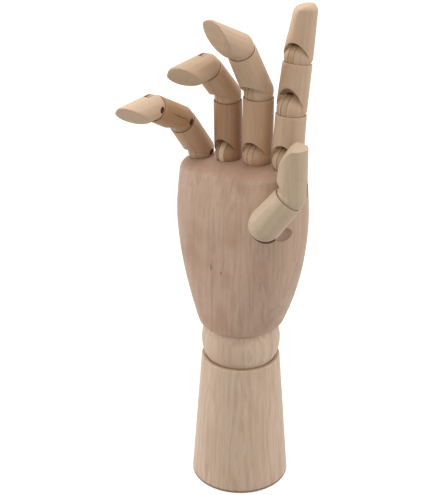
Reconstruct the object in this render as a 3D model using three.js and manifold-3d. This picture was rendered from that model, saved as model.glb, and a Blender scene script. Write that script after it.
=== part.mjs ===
// A jointed wooden artist's hand on a turned stand, posed as a relaxed right hand.
// Millimetres, +Z up. The palm faces -Y, the thumb is on the +X side, and the underside of
// the stand is centred on the origin.
import * as THREE from 'three';
import { mergeVertices } from 'three/addons/utils/BufferGeometryUtils.js';
import Module from 'manifold-3d';

// Fit between pieces that touch
const clearance = 0.3;

// Turned stand
const baseHeight = 86;
const baseBottomRadius = 30.3;
const baseRimWidth = 2.4;
const baseEdgeRound = 1.4;
const baseFootBevel = 0.8;
const springBoreRadius = 8;
const counterboreRadius = 12;
const counterboreDepth = 44;
const plugHeight = 8;

// Wrist ball
const wristBallRadius = 24.1;
const wristBallRise = 11;
const palmRise = 13;

// Wrist spring, its bar in the stand and its eye in the palm
const springWireRadius = 0.8;
const springCoilRadius = 4.2;
const springTurns = 17;
const springLead = 7;
const barRadius = 1.5;
const barLength = 21;
const eyeWireRadius = 1.5;
const eyeRingRadius = 4.2;
const eyeShankLength = 16;
const eyeHeadroom = 0.8;

// Palm
const palmLength = 107.7;
const palmRimWidth = 4.85;
const palmSideMargin = 10.7;
const palmHalfThickness = 25;
const palmSquareness = 2.7;
const palmFlarePower = 2.2;
const palmFlareHeight = 80;
const palmTopRoundHeight = 11;
const palmFrontRound = 18;
const palmSideRound = 2;

// Knuckle line
const knuckleSpacing = 20.6;
const knuckleCentre = -0.25;
const knuckleDepth = 1;
const knuckleTilt = 7.2;
const knuckleCrown = 0.75;

// Hinge joints shared by the fingers and the thumb
const rimDrop = 3;
const ballInset = 0.5;
const tongueThickness = 3.6;
const tongueWidth = 9;
const tongueSeat = 8;
const tongueInset = 0.3;
const slotReach = 3.4;
const pinRadius = 1.8;
const pinRecess = 1.4;
const pinStopWall = 2.2;
const knuckleShoulder = { rise: 2.2, apex: 10 };
const middleShoulder = { rise: 3.2, apex: 12.5 };
const tipShoulder = { rise: 2.5, apex: 9 };

// Fingertips
const padAngle = 39;
const padStart = 0.85;
const tipRound = 2;

// Fingers from the little one to the index. Bends are the pose in degrees at each joint, and
// pinSide is the side on which the pin holes open, +1 towards the thumb.
const fingers = [
  {
    name: 'little',
    place: -1.5,
    knuckleRadius: 8.3,
    middleRadius: 8.1,
    tipJointRadius: 7.7,
    tipRadius: 6.8,
    proximalLength: 30.5,
    middleLength: 29,
    distalLength: 27.4,
    bends: [37.5, 22.5, 30],
    pinSide: 1,
  },
  {
    name: 'ring',
    place: -0.5,
    knuckleRadius: 8.4,
    middleRadius: 8.2,
    tipJointRadius: 7.9,
    tipRadius: 7,
    proximalLength: 35.3,
    middleLength: 29.4,
    distalLength: 29.5,
    bends: [2, 40, 49],
    pinSide: -1,
  },
  {
    name: 'middle',
    place: 0.5,
    knuckleRadius: 8.8,
    middleRadius: 8.8,
    tipJointRadius: 8.2,
    tipRadius: 7,
    proximalLength: 38.5,
    middleLength: 35.2,
    distalLength: 33.2,
    bends: [0, 31, 31],
    pinSide: -1,
  },
  {
    name: 'index',
    place: 1.5,
    knuckleRadius: 9,
    middleRadius: 8.8,
    tipJointRadius: 8.3,
    tipRadius: 7.4,
    proximalLength: 30.4,
    middleLength: 28.7,
    distalLength: 31.3,
    bends: [-5, -5.5, 1.5],
    pinSide: -1,
  },
];

// Thumb, which swings in a plane turned to lie along the palm's rounded corner
const thumbTurn = 28;
const thumbAcross = 33.3;
const thumbUp = 80.9;
const thumbStandoff = 5;
const thumbBaseRadius = 10;
const thumbJointRadius = 8.9;
const thumbTipRadius = 7.8;
const thumbProximalLength = 23.2;
const thumbDistalLength = 31.4;
const thumbLean = 37.8;
const thumbBend = 36.3;
const thumbSpread = 35;
const thumbFold = 1;
const thumbPocketClearance = 0.7;
const thumbPegRadius = 3;
const thumbPegSeat = 9;
const thumbPegReach = 4;

// Facets
const baseFacets = 32;
const fingerFacets = 16;
const pinFacets = 12;
const palmFacets = 40;
const wireSides = 5;
const curlSteps = 8;

// Places that follow from the sizes
const wristCupRadius = wristBallRadius + clearance;
const wristCentre = baseHeight + wristBallRise;
const baseTopRadius = Math.sqrt(wristCupRadius ** 2 - wristBallRise ** 2) + baseRimWidth;
const palmBottom = wristCentre + palmRise;
const palmBottomRadius = Math.sqrt(wristCupRadius ** 2 - palmRise ** 2) + palmRimWidth;
const palmHalfWidth = 1.5 * knuckleSpacing + palmSideMargin;
const palmShoulder = palmBottom + palmLength - rimDrop - palmTopRoundHeight;
const barHeight = counterboreDepth - clearance - barRadius;
const eyeHeight = wristCentre + wristCupRadius + eyeHeadroom + eyeRingRadius + eyeWireRadius;
const eyeTop = eyeHeight + eyeRingRadius + eyeShankLength;
const thumbHeight = palmBottom + thumbUp;
const thumbPegFoot = ballInset - thumbBaseRadius - thumbPegSeat;

const kernel = await Module();
kernel.setup();

const radians = THREE.MathUtils.degToRad;
const lerp = THREE.MathUtils.lerp;

// Solid from a closed triangle surface, without its doubled seam points and flat triangles
function toSolid(geometry) {
  const bare = geometry.clone();
  bare.deleteAttribute('normal');
  bare.deleteAttribute('uv');
  const merged = mergeVertices(bare, 1e-4);
  const corners = merged.index.array;
  const kept = [];
  for (let i = 0; i < corners.length; i += 3) {
    const [a, b, c] = [corners[i], corners[i + 1], corners[i + 2]];
    if (a !== b && b !== c && c !== a) {
      kept.push(a, b, c);
    }
  }
  return new kernel.Manifold(
    new kernel.Mesh({
      numProp: 3,
      vertProperties: new Float32Array(merged.attributes.position.array),
      triVerts: new Uint32Array(kept),
    }),
  );
}

function toGeometry(solid) {
  const mesh = solid.getMesh();
  const geometry = new THREE.BufferGeometry();
  geometry.setAttribute('position', new THREE.BufferAttribute(mesh.vertProperties, 3));
  geometry.setIndex(new THREE.BufferAttribute(mesh.triVerts, 1));
  const faceted = geometry.toNonIndexed();
  faceted.computeVertexNormals();
  return faceted;
}

// Solid turned about Z from [radius, height] points that run up the outside
function turned(profile, facets) {
  const points = profile.map(([radius, height]) => new THREE.Vector2(radius, height));
  return toSolid(new THREE.LatheGeometry(points, facets).rotateX(Math.PI / 2));
}

// Points of an arc in [radius, height] about a centre on the axis, between two elevations
function arcPoints(radius, centreHeight, fromAngle, toAngle, steps) {
  return Array.from({ length: steps + 1 }, (_, i) => {
    const angle = lerp(fromAngle, toAngle, i / steps);
    return [radius * Math.cos(angle), centreHeight + radius * Math.sin(angle)];
  });
}

function ball(radius, facets) {
  const profile = arcPoints(radius, 0, -Math.PI / 2, Math.PI / 2, facets / 2);
  profile[0][0] = 0;
  profile[profile.length - 1][0] = 0;
  return turned(profile, facets);
}

// Flat outline in (y, z), given thickness along X about the plane x = 0
function plate(shape, thickness, curveSegments) {
  const geometry = new THREE.ExtrudeGeometry(shape, {
    depth: thickness,
    bevelEnabled: false,
    curveSegments,
  });
  geometry.translate(0, 0, -thickness / 2);
  const axes = new THREE.Matrix4().makeBasis(
    new THREE.Vector3(0, 1, 0),
    new THREE.Vector3(0, 0, 1),
    new THREE.Vector3(1, 0, 0),
  );
  return toSolid(geometry.applyMatrix4(axes));
}

// Wedge or slab that cuts right across X, from an outline of [y, z] points
function crossCut(outline, width) {
  return plate(new THREE.Shape(outline.map(([y, z]) => new THREE.Vector2(y, z))), width, 1);
}

// Round bar along X between two ends
function crossBar(radius, from, to) {
  const geometry = new THREE.CylinderGeometry(radius, radius, to - from, pinFacets);
  geometry.rotateZ(Math.PI / 2);
  geometry.translate((from + to) / 2, 0, 0);
  return toSolid(geometry);
}

function placed(solid, matrix) {
  return solid.transform(matrix.elements);
}

function shifted(x, y, z) {
  return new THREE.Matrix4().makeTranslation(x, y, z);
}

function bent(degrees) {
  return new THREE.Matrix4().makeRotationX(radians(degrees));
}

const ballRadiusFor = (jointRadius) => jointRadius - ballInset;

// Ball faceted about the pin's axis, so that it turns evenly in its cup
function jointBall(radius) {
  return placed(ball(radius, fingerFacets), new THREE.Matrix4().makeRotationY(Math.PI / 2));
}

// Cup in the rim of the lower piece, and the mortise below it that holds the tongue
function seatCut(jointRadius) {
  const cup = jointBall(ballRadiusFor(jointRadius) + clearance);
  const depth = rimDrop + tongueSeat + clearance;
  const mortise = new THREE.BoxGeometry(
    tongueThickness + 2 * clearance,
    tongueWidth + 2 * clearance,
    depth,
  );
  mortise.translate(0, 0, -depth / 2);
  return cup.add(toSolid(mortise));
}

// Flat wooden tongue with a round head about the pin and a shank for the mortise below
function tongue(jointRadius) {
  const headRadius = ballRadiusFor(jointRadius) - tongueInset;
  const half = tongueWidth / 2;
  const start = -Math.acos(half / headRadius);
  const foot = -(rimDrop + tongueSeat);
  const outline = new THREE.Shape();
  outline.moveTo(half, foot);
  outline.absarc(0, 0, headRadius, start, Math.PI - start, false);
  outline.lineTo(-half, foot);
  outline.closePath();
  const hole = new THREE.Path();
  hole.absarc(0, 0, pinRadius + clearance, 0, 2 * Math.PI, true);
  outline.holes.push(hole);
  return plate(outline, tongueThickness, fingerFacets / 2);
}

// Ends of a joint's pin along X: a stop inside the wood, and an end sunk below the far side
function pinEnds(jointRadius, side) {
  const half = ballRadiusFor(jointRadius);
  return { stop: -side * (half - pinStopWall), mouth: side * (half - pinRecess) };
}

function pin(jointRadius, side) {
  const { stop, mouth } = pinEnds(jointRadius, side);
  return crossBar(pinRadius, Math.min(stop, mouth), Math.max(stop, mouth));
}

// Saw slot for the tongue and the pin's blind hole, through the ball of the upper piece
function clevisCut(jointRadius, side) {
  const width = tongueThickness + 2 * clearance;
  const reach = ballRadiusFor(jointRadius) + slotReach;
  const disc = new THREE.Shape();
  disc.absarc(0, 0, reach, 0, 2 * Math.PI, false);
  const slot = plate(disc, width, fingerFacets);
  const { stop } = pinEnds(jointRadius, side);
  const blindEnd = stop - side * clearance;
  const outside = side * 2 * jointRadius;
  const bore = crossBar(
    pinRadius + clearance,
    Math.min(blindEnd, outside),
    Math.max(blindEnd, outside),
  );
  return slot.add(bore);
}

// Shoulder that lets a joint fold: it starts low behind the pin and rises to the palm side
function shoulderCut(jointRadius, shoulder) {
  const slope = (shoulder.apex - shoulder.rise) / jointRadius;
  const wide = 2 * jointRadius;
  return crossCut(
    [
      [shoulder.rise / slope, 0],
      [-wide, shoulder.rise + wide * slope],
      [-wide, -1],
      [shoulder.rise / slope, -1],
    ],
    2 * wide,
  );
}

// Shaft between two joints, with its lower joint at the origin and a seat at its top
function shaftWithSeat(lowerRadius, upperRadius, length) {
  const top = length - rimDrop;
  const shaft = turned([[0, 0], [lowerRadius, 0], [upperRadius, top], [0, top]], fingerFacets);
  return shaft.subtract(placed(seatCut(upperRadius), shifted(0, 0, length)));
}

// Link of a finger, slotted for the tongue of the joint below it
function link(size) {
  const { lowerRadius, upperRadius, length, shoulder, pinSide } = size;
  return shaftWithSeat(lowerRadius, upperRadius, length)
    .subtract(shoulderCut(lowerRadius, shoulder))
    .add(jointBall(ballRadiusFor(lowerRadius)))
    .subtract(clevisCut(lowerRadius, pinSide));
}

// Fingertip: a tapered link whose end is sliced on the palm side into a flat pad
function fingertip(size) {
  const { lowerRadius, tipRadius, length, pinSide } = size;
  const shaft = turned(
    [
      [0, 0],
      [lowerRadius, 0],
      [tipRadius, length - tipRound],
      [tipRadius - tipRound * 0.3, length - tipRound * 0.4],
      [tipRadius - tipRound, length],
      [0, length],
    ],
    fingerFacets,
  );
  const along = [-Math.sin(radians(padAngle)), -Math.cos(radians(padAngle))];
  const start = [padStart * tipRadius, length];
  const above = [start[0] - along[0] * length, start[1] - along[1] * length];
  const below = [start[0] + along[0] * 2 * length, start[1] + along[1] * 2 * length];
  const pad = crossCut([above, [below[0], above[1]], below], 4 * lowerRadius);
  return shaft
    .subtract(pad)
    .subtract(shoulderCut(lowerRadius, tipShoulder))
    .add(jointBall(ballRadiusFor(lowerRadius)))
    .subtract(clevisCut(lowerRadius, pinSide));
}

// Height of the knuckle pins across the hand
function knuckleHeight(x) {
  const crown = knuckleCrown * (x / (1.5 * knuckleSpacing)) ** 2;
  return palmBottom + palmLength + x * Math.tan(radians(knuckleTilt)) - crown;
}

// Half width, half thickness and squareness of the palm at a height
function palmSection(height) {
  const rise = Math.min((height - palmBottom) / palmFlareHeight, 1);
  const flare = 1 - (1 - rise) ** palmFlarePower;
  return {
    halfWidth: lerp(palmBottomRadius, palmHalfWidth, flare),
    halfThickness: lerp(palmBottomRadius, palmHalfThickness, flare),
    power: lerp(2, palmSquareness, flare),
  };
}

// How far the palm's front stands from its middle plane
function palmFront(x, height) {
  const { halfWidth, halfThickness, power } = palmSection(height);
  return halfThickness * (1 - (Math.abs(x) / halfWidth) ** power) ** (1 / power);
}

// Ring of points round a rounded-square section, whose height follows the knuckle line by a share
function palmRing({ halfWidth, halfThickness, power }, height, share) {
  return Array.from({ length: palmFacets }, (_, i) => {
    const angle = (2 * Math.PI * i) / palmFacets;
    const [c, s] = [Math.cos(angle), Math.sin(angle)];
    const x = halfWidth * Math.sign(c) * Math.abs(c) ** (2 / power);
    const y = halfThickness * Math.sign(s) * Math.abs(s) ** (2 / power);
    const lift = share * (knuckleHeight(x) - knuckleHeight(0));
    return [x, y, height + lift];
  });
}

// Closed surface through rings that run upwards, capped by strips between mirrored points
function lofted(rings) {
  const count = rings[0].length;
  const triangles = [];
  for (let k = 0; k < rings.length - 1; k += 1) {
    for (let i = 0; i < count; i += 1) {
      const a = k * count + i;
      const b = k * count + ((i + 1) % count);
      triangles.push(a, b, b + count, a, b + count, a + count);
    }
  }
  const top = (rings.length - 1) * count;
  for (let i = 0; i < count / 2; i += 1) {
    const mirror = (count - i) % count;
    triangles.push(top + i, top + i + 1, top + count - i - 1);
    triangles.push(top + i, top + count - i - 1, top + mirror);
    triangles.push(i + 1, i, count - i - 1);
    triangles.push(count - i - 1, i, mirror);
  }
  const geometry = new THREE.BufferGeometry();
  geometry.setAttribute('position', new THREE.Float32BufferAttribute(rings.flat(2), 3));
  geometry.setIndex(triangles);
  return toSolid(geometry);
}

// Outside of the palm: a round wrist end that flares to a broad, round-edged knuckle end
function palmBlank() {
  const bodyRings = 8;
  const edgeRings = 5;
  const rings = [];
  for (let k = 0; k <= bodyRings; k += 1) {
    const share = (k / bodyRings) ** 1.3;
    const height = lerp(palmBottom, palmShoulder, share);
    rings.push(palmRing(palmSection(height), height, share ** 3));
  }
  const shoulder = palmSection(palmShoulder);
  for (let k = 1; k <= edgeRings; k += 1) {
    const angle = (Math.PI / 2) * (k / edgeRings);
    const inward = 1 - Math.cos(angle);
    const section = {
      halfWidth: shoulder.halfWidth - palmSideRound * inward,
      halfThickness: shoulder.halfThickness - palmFrontRound * inward,
      power: shoulder.power,
    };
    rings.push(palmRing(section, palmShoulder + palmTopRoundHeight * Math.sin(angle), 1));
  }
  return lofted(rings);
}

// Pocket that the thumb sweeps in the palm between its two limits, and the hole for its peg
function thumbPocket() {
  const radius = thumbBaseRadius + thumbPocketClearance;
  const reach = 3 * thumbBaseRadius;
  const steps = 4;
  let pocket = jointBall(ballRadiusFor(thumbBaseRadius) + clearance);
  for (let k = 0; k <= steps; k += 1) {
    const lean = lerp(thumbLean - thumbFold, thumbLean + thumbSpread, k / steps);
    const sweep = turned([[0, 0], [radius, 0], [radius, reach], [0, reach]], fingerFacets);
    pocket = pocket.add(placed(sweep, bent(-lean)));
  }
  const hole = crossBar(thumbPegRadius + clearance, thumbPegFoot - clearance, 0);
  return pocket.add(hole);
}

// First link of the thumb, bored from the palm side for the peg it swings on
function thumbLink() {
  const radius = thumbBaseRadius;
  const bore = crossBar(thumbPegRadius + clearance, -2 * radius, thumbPegReach + clearance);
  return shaftWithSeat(radius, thumbJointRadius, thumbProximalLength)
    .add(jointBall(ballRadiusFor(radius)))
    .subtract(bore);
}

// Pocket over the wrist ball for the eye's ring, with the pilot hole for its shank
function eyeCut() {
  const ringTop = eyeHeight + eyeRingRadius + eyeWireRadius + eyeHeadroom;
  const pocketRadius = eyeRingRadius + eyeWireRadius + eyeHeadroom;
  const pilot = eyeWireRadius + clearance;
  return turned(
    [
      [0, wristCentre],
      [pocketRadius, wristCentre],
      [pocketRadius, ringTop],
      [pilot, ringTop],
      [pilot, eyeTop + clearance],
      [0, eyeTop + clearance],
    ],
    16,
  );
}

// Turned stand: a cup for the wrist ball, the spring's bore, and a counterbore from below
function standBody() {
  const rimAngle = -Math.asin(wristBallRise / wristCupRadius);
  const boreAngle = -Math.acos(springBoreRadius / wristCupRadius);
  const edge = baseTopRadius - baseEdgeRound;
  const round = arcPoints(baseEdgeRound, baseHeight - baseEdgeRound, 0, Math.PI / 2, 3);
  return turned(
    [
      [counterboreRadius, 0],
      [baseBottomRadius - baseFootBevel, 0],
      [baseBottomRadius, baseFootBevel],
      ...round.map(([radius, height]) => [edge + radius, height]),
      ...arcPoints(wristCupRadius, wristCentre, rimAngle, boreAngle, 6),
      [springBoreRadius, counterboreDepth],
      [counterboreRadius, counterboreDepth],
      [counterboreRadius, 0],
    ],
    baseFacets,
  );
}

function plugBody() {
  const radius = counterboreRadius - clearance;
  return turned([[0, 0], [radius, 0], [radius, plugHeight], [0, plugHeight]], baseFacets);
}

// Wrist ball with the spring's bore through it
function wristBallBody() {
  const boreAngle = Math.acos(springBoreRadius / wristBallRadius);
  const outside = arcPoints(wristBallRadius, wristCentre, -boreAngle, boreAngle, 12);
  return turned([...outside, outside[0]], baseFacets);
}

// Eye with a ring for the spring's hook and a plain shank in the palm
function screwEyeBody() {
  const ring = new THREE.TorusGeometry(eyeRingRadius, eyeWireRadius, 8, 20);
  ring.rotateX(Math.PI / 2);
  ring.translate(0, 0, eyeHeight);
  const foot = eyeHeight + eyeRingRadius;
  const shank = turned([[0, foot], [eyeWireRadius, foot], [eyeWireRadius, eyeTop], [0, eyeTop]], 8);
  return toSolid(ring).add(shank);
}

// Centre line of the spring: a hook round the bar, a coil, and a hook round the eye's ring
function springPath() {
  const eyeLow = eyeHeight - eyeRingRadius;
  const lowHook = barRadius + clearance + springWireRadius;
  const highHook = eyeWireRadius + clearance + springWireRadius;
  const points = [];
  const hookSteps = 9;
  for (let k = 0; k < hookSteps; k += 1) {
    const angle = radians(lerp(150, 360, k / hookSteps));
    const height = barHeight + lowHook * Math.sin(angle);
    points.push(new THREE.Vector3(0, lowHook * Math.cos(angle), height));
  }
  const leadSteps = curlSteps;
  const coilFrom = barHeight + springLead;
  const coilTo = eyeLow - springLead;
  const lead = (share, hook, from, to, turn) => {
    const radius = lerp(hook, springCoilRadius, share);
    const angle = Math.PI / 2 + turn * Math.PI * share ** 2;
    const height = lerp(from, to, 1 - (1 - share) ** 2);
    return new THREE.Vector3(radius * Math.cos(angle), radius * Math.sin(angle), height);
  };
  for (let k = 0; k < leadSteps; k += 1) {
    points.push(lead(k / leadSteps, lowHook, barHeight, coilFrom, 1));
  }
  const coilSteps = curlSteps * springTurns;
  for (let k = 0; k <= coilSteps; k += 1) {
    const angle = -Math.PI / 2 + (2 * Math.PI * k) / curlSteps;
    const height = lerp(coilFrom, coilTo, k / coilSteps);
    const [x, y] = [springCoilRadius * Math.cos(angle), springCoilRadius * Math.sin(angle)];
    points.push(new THREE.Vector3(x, y, height));
  }
  for (let k = leadSteps - 1; k >= 0; k -= 1) {
    points.push(lead(k / leadSteps, highHook, eyeLow, coilTo, -1));
  }
  for (let k = 1; k <= hookSteps; k += 1) {
    const angle = radians(lerp(0, 210, k / hookSteps));
    const height = eyeLow + highHook * Math.sin(angle);
    points.push(new THREE.Vector3(0, highHook * Math.cos(angle), height));
  }
  return points;
}

// Least gap between stretches of a wire that are over half a turn apart along it
function leastWireGap(points, radius) {
  let least = Infinity;
  for (let i = 0; i < points.length; i += 1) {
    for (let j = i + curlSteps / 2 + 1; j < points.length; j += 1) {
      least = Math.min(least, points[i].distanceTo(points[j]));
    }
  }
  return least - 2 * radius;
}

// Closed tube of even radius along points, with its sides carried along without twist
function tube(points, radius, sides) {
  const positions = [];
  const triangles = [];
  const side = new THREE.Vector3(1, 0, 0);
  points.forEach((point, k) => {
    const before = points[Math.max(k - 1, 0)];
    const after = points[Math.min(k + 1, points.length - 1)];
    const along = after.clone().sub(before).normalize();
    side.addScaledVector(along, -side.dot(along)).normalize();
    const up = along.clone().cross(side);
    for (let i = 0; i < sides; i += 1) {
      const angle = (2 * Math.PI * i) / sides;
      const corner = point.clone().addScaledVector(side, radius * Math.cos(angle));
      corner.addScaledVector(up, radius * Math.sin(angle));
      positions.push(corner.x, corner.y, corner.z);
    }
  });
  for (let k = 0; k < points.length - 1; k += 1) {
    for (let i = 0; i < sides; i += 1) {
      const a = k * sides + i;
      const b = k * sides + ((i + 1) % sides);
      triangles.push(a, b, b + sides, a, b + sides, a + sides);
    }
  }
  const last = (points.length - 1) * sides;
  for (let i = 1; i < sides - 1; i += 1) {
    triangles.push(0, i + 1, i);
    triangles.push(last, last + i, last + i + 1);
  }
  const geometry = new THREE.BufferGeometry();
  geometry.setAttribute('position', new THREE.Float32BufferAttribute(positions, 3));
  geometry.setIndex(triangles);
  return toSolid(geometry);
}

// Materials
const palmWood = { color: 0xc9a78c, roughness: 0.62, metalness: 0 };
const fingerWood = { color: 0xd3b48c, roughness: 0.58, metalness: 0 };
const standWood = { color: 0xd4b597, roughness: 0.55, metalness: 0 };
const tongueWood = { color: 0xdcc49c, roughness: 0.6, metalness: 0 };
const pinWood = { color: 0x7a5636, roughness: 0.7, metalness: 0 };
const steel = { color: 0x9a9da0, roughness: 0.35, metalness: 1 };

const hand = new THREE.Group();
hand.name = 'artist_hand';

function addPiece(name, solid, finish) {
  const mesh = new THREE.Mesh(toGeometry(solid), new THREE.MeshStandardMaterial(finish));
  mesh.name = name;
  hand.add(mesh);
}

// Stand and wrist
addPiece('base', standBody(), standWood);
addPiece('base_plug', plugBody(), standWood);
const bar = crossBar(barRadius, -barLength / 2, barLength / 2);
addPiece('spring_bar', placed(bar, shifted(0, 0, barHeight)), steel);
const wirePath = springPath();
console.log(`wrist_spring least gap ${leastWireGap(wirePath, springWireRadius).toFixed(2)} mm`);
addPiece('wrist_spring', tube(wirePath, springWireRadius, wireSides), steel);
addPiece('wrist_ball', wristBallBody(), standWood);
addPiece('screw_eye', screwEyeBody(), steel);

// Fingers, each a chain of three links, and the cuts they make in the palm
let palm = palmBlank();
const wristCup = placed(ball(wristCupRadius, baseFacets), shifted(0, 0, wristCentre));
palm = palm.subtract(wristCup).subtract(eyeCut());
for (const finger of fingers) {
  const { name, pinSide } = finger;
  const x = knuckleCentre + finger.place * knuckleSpacing;
  const knuckle = shifted(x, knuckleDepth, knuckleHeight(x));
  palm = palm.subtract(placed(seatCut(finger.knuckleRadius), knuckle));
  const links = [
    {
      part: 'proximal',
      joint: 'knuckle',
      lowerRadius: finger.knuckleRadius,
      upperRadius: finger.middleRadius,
      length: finger.proximalLength,
      shoulder: knuckleShoulder,
      pinSide,
    },
    {
      part: 'middle',
      joint: 'middle',
      lowerRadius: finger.middleRadius,
      upperRadius: finger.tipJointRadius,
      length: finger.middleLength,
      shoulder: middleShoulder,
      pinSide,
    },
    {
      part: 'distal',
      joint: 'tip',
      lowerRadius: finger.tipJointRadius,
      tipRadius: finger.tipRadius,
      length: finger.distalLength,
      pinSide,
    },
  ];
  let frame = knuckle;
  links.forEach((size, k) => {
    const radius = size.lowerRadius;
    addPiece(`${name}_${size.joint}_tongue`, placed(tongue(radius), frame), tongueWood);
    frame = frame.clone().multiply(bent(finger.bends[k]));
    const body = size.part === 'distal' ? fingertip(size) : link(size);
    addPiece(`${name}_${size.part}`, placed(body, frame), fingerWood);
    addPiece(`${name}_${size.joint}_pin`, placed(pin(radius, pinSide), frame), pinWood);
    frame = frame.clone().multiply(shifted(0, 0, size.length));
  });
}

// Thumb, turned so that the peg it swings on stands square to the palm
const thumbDepth = -palmFront(thumbAcross, thumbHeight) - thumbStandoff;
const thumbFacing = new THREE.Matrix4().makeRotationZ(radians(thumbTurn - 90));
const thumbRoot = shifted(thumbAcross, thumbDepth, thumbHeight).multiply(thumbFacing);
palm = palm.subtract(placed(thumbPocket(), thumbRoot));
addPiece('palm', palm, palmWood);
const peg = crossBar(thumbPegRadius, thumbPegFoot, thumbPegReach);
addPiece('thumb_base_peg', placed(peg, thumbRoot), pinWood);
const thumbSeat = thumbRoot.clone().multiply(bent(-thumbLean));
addPiece('thumb_proximal', placed(thumbLink(), thumbSeat), fingerWood);
const thumbJoint = thumbSeat.clone().multiply(shifted(0, 0, thumbProximalLength));
addPiece('thumb_tip_tongue', placed(tongue(thumbJointRadius), thumbJoint), tongueWood);
const thumbTip = thumbJoint.clone().multiply(bent(thumbBend));
const thumbDistal = {
  lowerRadius: thumbJointRadius,
  tipRadius: thumbTipRadius,
  length: thumbDistalLength,
  pinSide: -1,
};
addPiece('thumb_distal', placed(fingertip(thumbDistal), thumbTip), fingerWood);
addPiece('thumb_tip_pin', placed(pin(thumbJointRadius, -1), thumbTip), pinWood);

export default hand;
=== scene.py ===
"""Looks of a jointed wooden artist's hand on a turned stand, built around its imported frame.

Sizes are millimetres and degrees, and meshes are written in metres. Every wooden piece is a
surface worked out on a grid, cut by the cups, slots and pin holes of its joints, and dressed in a
solid wood figure that runs along the piece's own axis.
"""

import logging
import math
from dataclasses import dataclass, field, replace
from enum import Enum
from typing import Callable

import bmesh
import bpy
import numpy as np
from mathutils import Matrix
from numpy.typing import NDArray


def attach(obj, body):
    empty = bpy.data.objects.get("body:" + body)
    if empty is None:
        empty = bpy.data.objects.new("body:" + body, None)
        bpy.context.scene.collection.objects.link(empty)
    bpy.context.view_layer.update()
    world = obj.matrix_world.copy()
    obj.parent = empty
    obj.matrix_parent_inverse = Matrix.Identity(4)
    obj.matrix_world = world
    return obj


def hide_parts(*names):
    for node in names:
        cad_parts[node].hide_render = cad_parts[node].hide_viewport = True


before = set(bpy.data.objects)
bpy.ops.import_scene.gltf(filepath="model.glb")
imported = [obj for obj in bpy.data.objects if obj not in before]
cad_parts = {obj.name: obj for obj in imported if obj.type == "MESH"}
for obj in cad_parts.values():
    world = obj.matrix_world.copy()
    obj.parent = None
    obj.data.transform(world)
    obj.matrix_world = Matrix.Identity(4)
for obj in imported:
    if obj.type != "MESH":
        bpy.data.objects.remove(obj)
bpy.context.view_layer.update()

Array = NDArray[np.float64]
Colour = tuple[int, int, int]
Triple = tuple[float, float, float]
Mask = Callable[[Array], Array]
Piece = bpy.types.Object
Socket = bpy.types.NodeSocket
Material = bpy.types.Material

log = logging.getLogger("hand")

MM = 0.001
UPRIGHT = np.eye(4)

# Edges that turn by more than this stay sharp, in degrees
SHARP_ANGLE = 32.0

# Distances in metres at which points are merged and thin faces are dropped
MERGE = 2e-6
THIN = 1e-6

# Columns of the grids
LINK_COLUMNS = 80
STAND_COLUMNS = 144
PALM_COLUMNS = 176
PIN_COLUMNS = 40
FLOOR_COLUMNS = 64
WIRE_SIDES = 12

# Rows of a link's round end, notch roof, shaft and cup, and of a fingertip
END_ROWS = 40
ROOF_ROWS = 7
SHAFT_ROWS = 13
CUP_ROWS = 14
TIP_ROWS = 60

# Columns of the round cutters of the palm: wrist, eye, knuckles, heel and dish
WRIST_COLUMNS = 96
EYE_COLUMNS = 48
KNUCKLE_COLUMNS = 72
HEEL_COLUMNS = 64
DISH_COLUMNS = 48

# Shifts of a cutter that are tried in turn until a cut leaves no edge open, and their direction
NUDGES = (0.0, 0.0037, -0.0053, 0.011, -0.017, 0.023, -0.031, 0.043)
NUDGE_WAY = np.array([1.0, 0.7, 0.4])

# Turns of the cutters of slots and pin holes, which keep their edges off the link's own
SLOT_TURN = 1.7
BORE_TURN = 3.1

# Notches: part of the ball that blends into the shaft behind, steepest climb, height of a closed
# notch, angle where a notch starts to close, run over which it closes, and the step above it then
BACK_BLEND = math.radians(15.0)
NOTCH_STEEPEST = math.radians(76.0)
LEAST_ARCH = 0.37
NOTCH_CLOSES = math.radians(69.0)
NOTCH_EASE = math.radians(12.0)
FLANK_STEP = 0.3

# Pads: run over which a slice grows steeper, and a distance beyond any section
PAD_RUN = 5.0
FAR = 60.0

# Margins of the masks of painted shade: round cups and holes, on a slot's walls, off a ball,
# inside a shaft and above a pin
CUP_MARGIN = 0.02
WALL_MARGIN = 0.01
BALL_MARGIN = 0.05
SHAFT_MARGIN = 0.6
PIN_MARGIN = 0.5

# Cells of the woods' noise for each millimetre across and along the grain
DRIFT_CELLS = (0.06, 0.06, 0.012)
STREAK_CELLS = (0.5, 0.5, 0.012)
FIBRE_CELLS = (2.8, 2.8, 0.1)
PORE_CELLS = (2.6, 2.6, 0.3)
CLOUD_CELLS = (0.05, 0.05, 0.035)
RAGGED_CELLS = (1.6, 1.6, 0.5)

# How far the growth bands drift across the grain, and their wave's radians for each millimetre
DRIFT_REACH = (9.0, 9.0, 0.0)
BAND_RATE = 1.7

# Cells of the steel's noise for each metre
STEEL_CELLS = (420.0, 420.0, 180.0)

# Where links, tongues and pins lie in their planks: from the pith, and along the grain
LINK_PITH = 28.0
LINK_RUN = 90.0
TONGUE_PITH = (14.0, 6.0)
TONGUE_RUN = 37.0
PIN_PITH = (5.0, 4.0)
PIN_RUN = 53.0


class Slot(Enum):
    """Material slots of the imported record."""

    PALM = "palm_wood"
    FINGER = "finger_wood"
    STAND = "stand_wood"
    TONGUE = "tongue_wood"
    PIN = "pin_wood"
    STEEL = "steel"


class PinSide(Enum):
    """Side of a finger on which its pin holes open."""

    THUMB = 1
    LITTLE = -1


# Placing


def shift(x: float, y: float, z: float) -> Array:
    """Matrix of a move.

    Args:
        x: Move along X.
        y: Move along Y.
        z: Move along Z.

    Returns:
        The 4 by 4 matrix.
    """
    matrix = np.eye(4)
    matrix[:3, 3] = (x, y, z)
    return matrix


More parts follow.
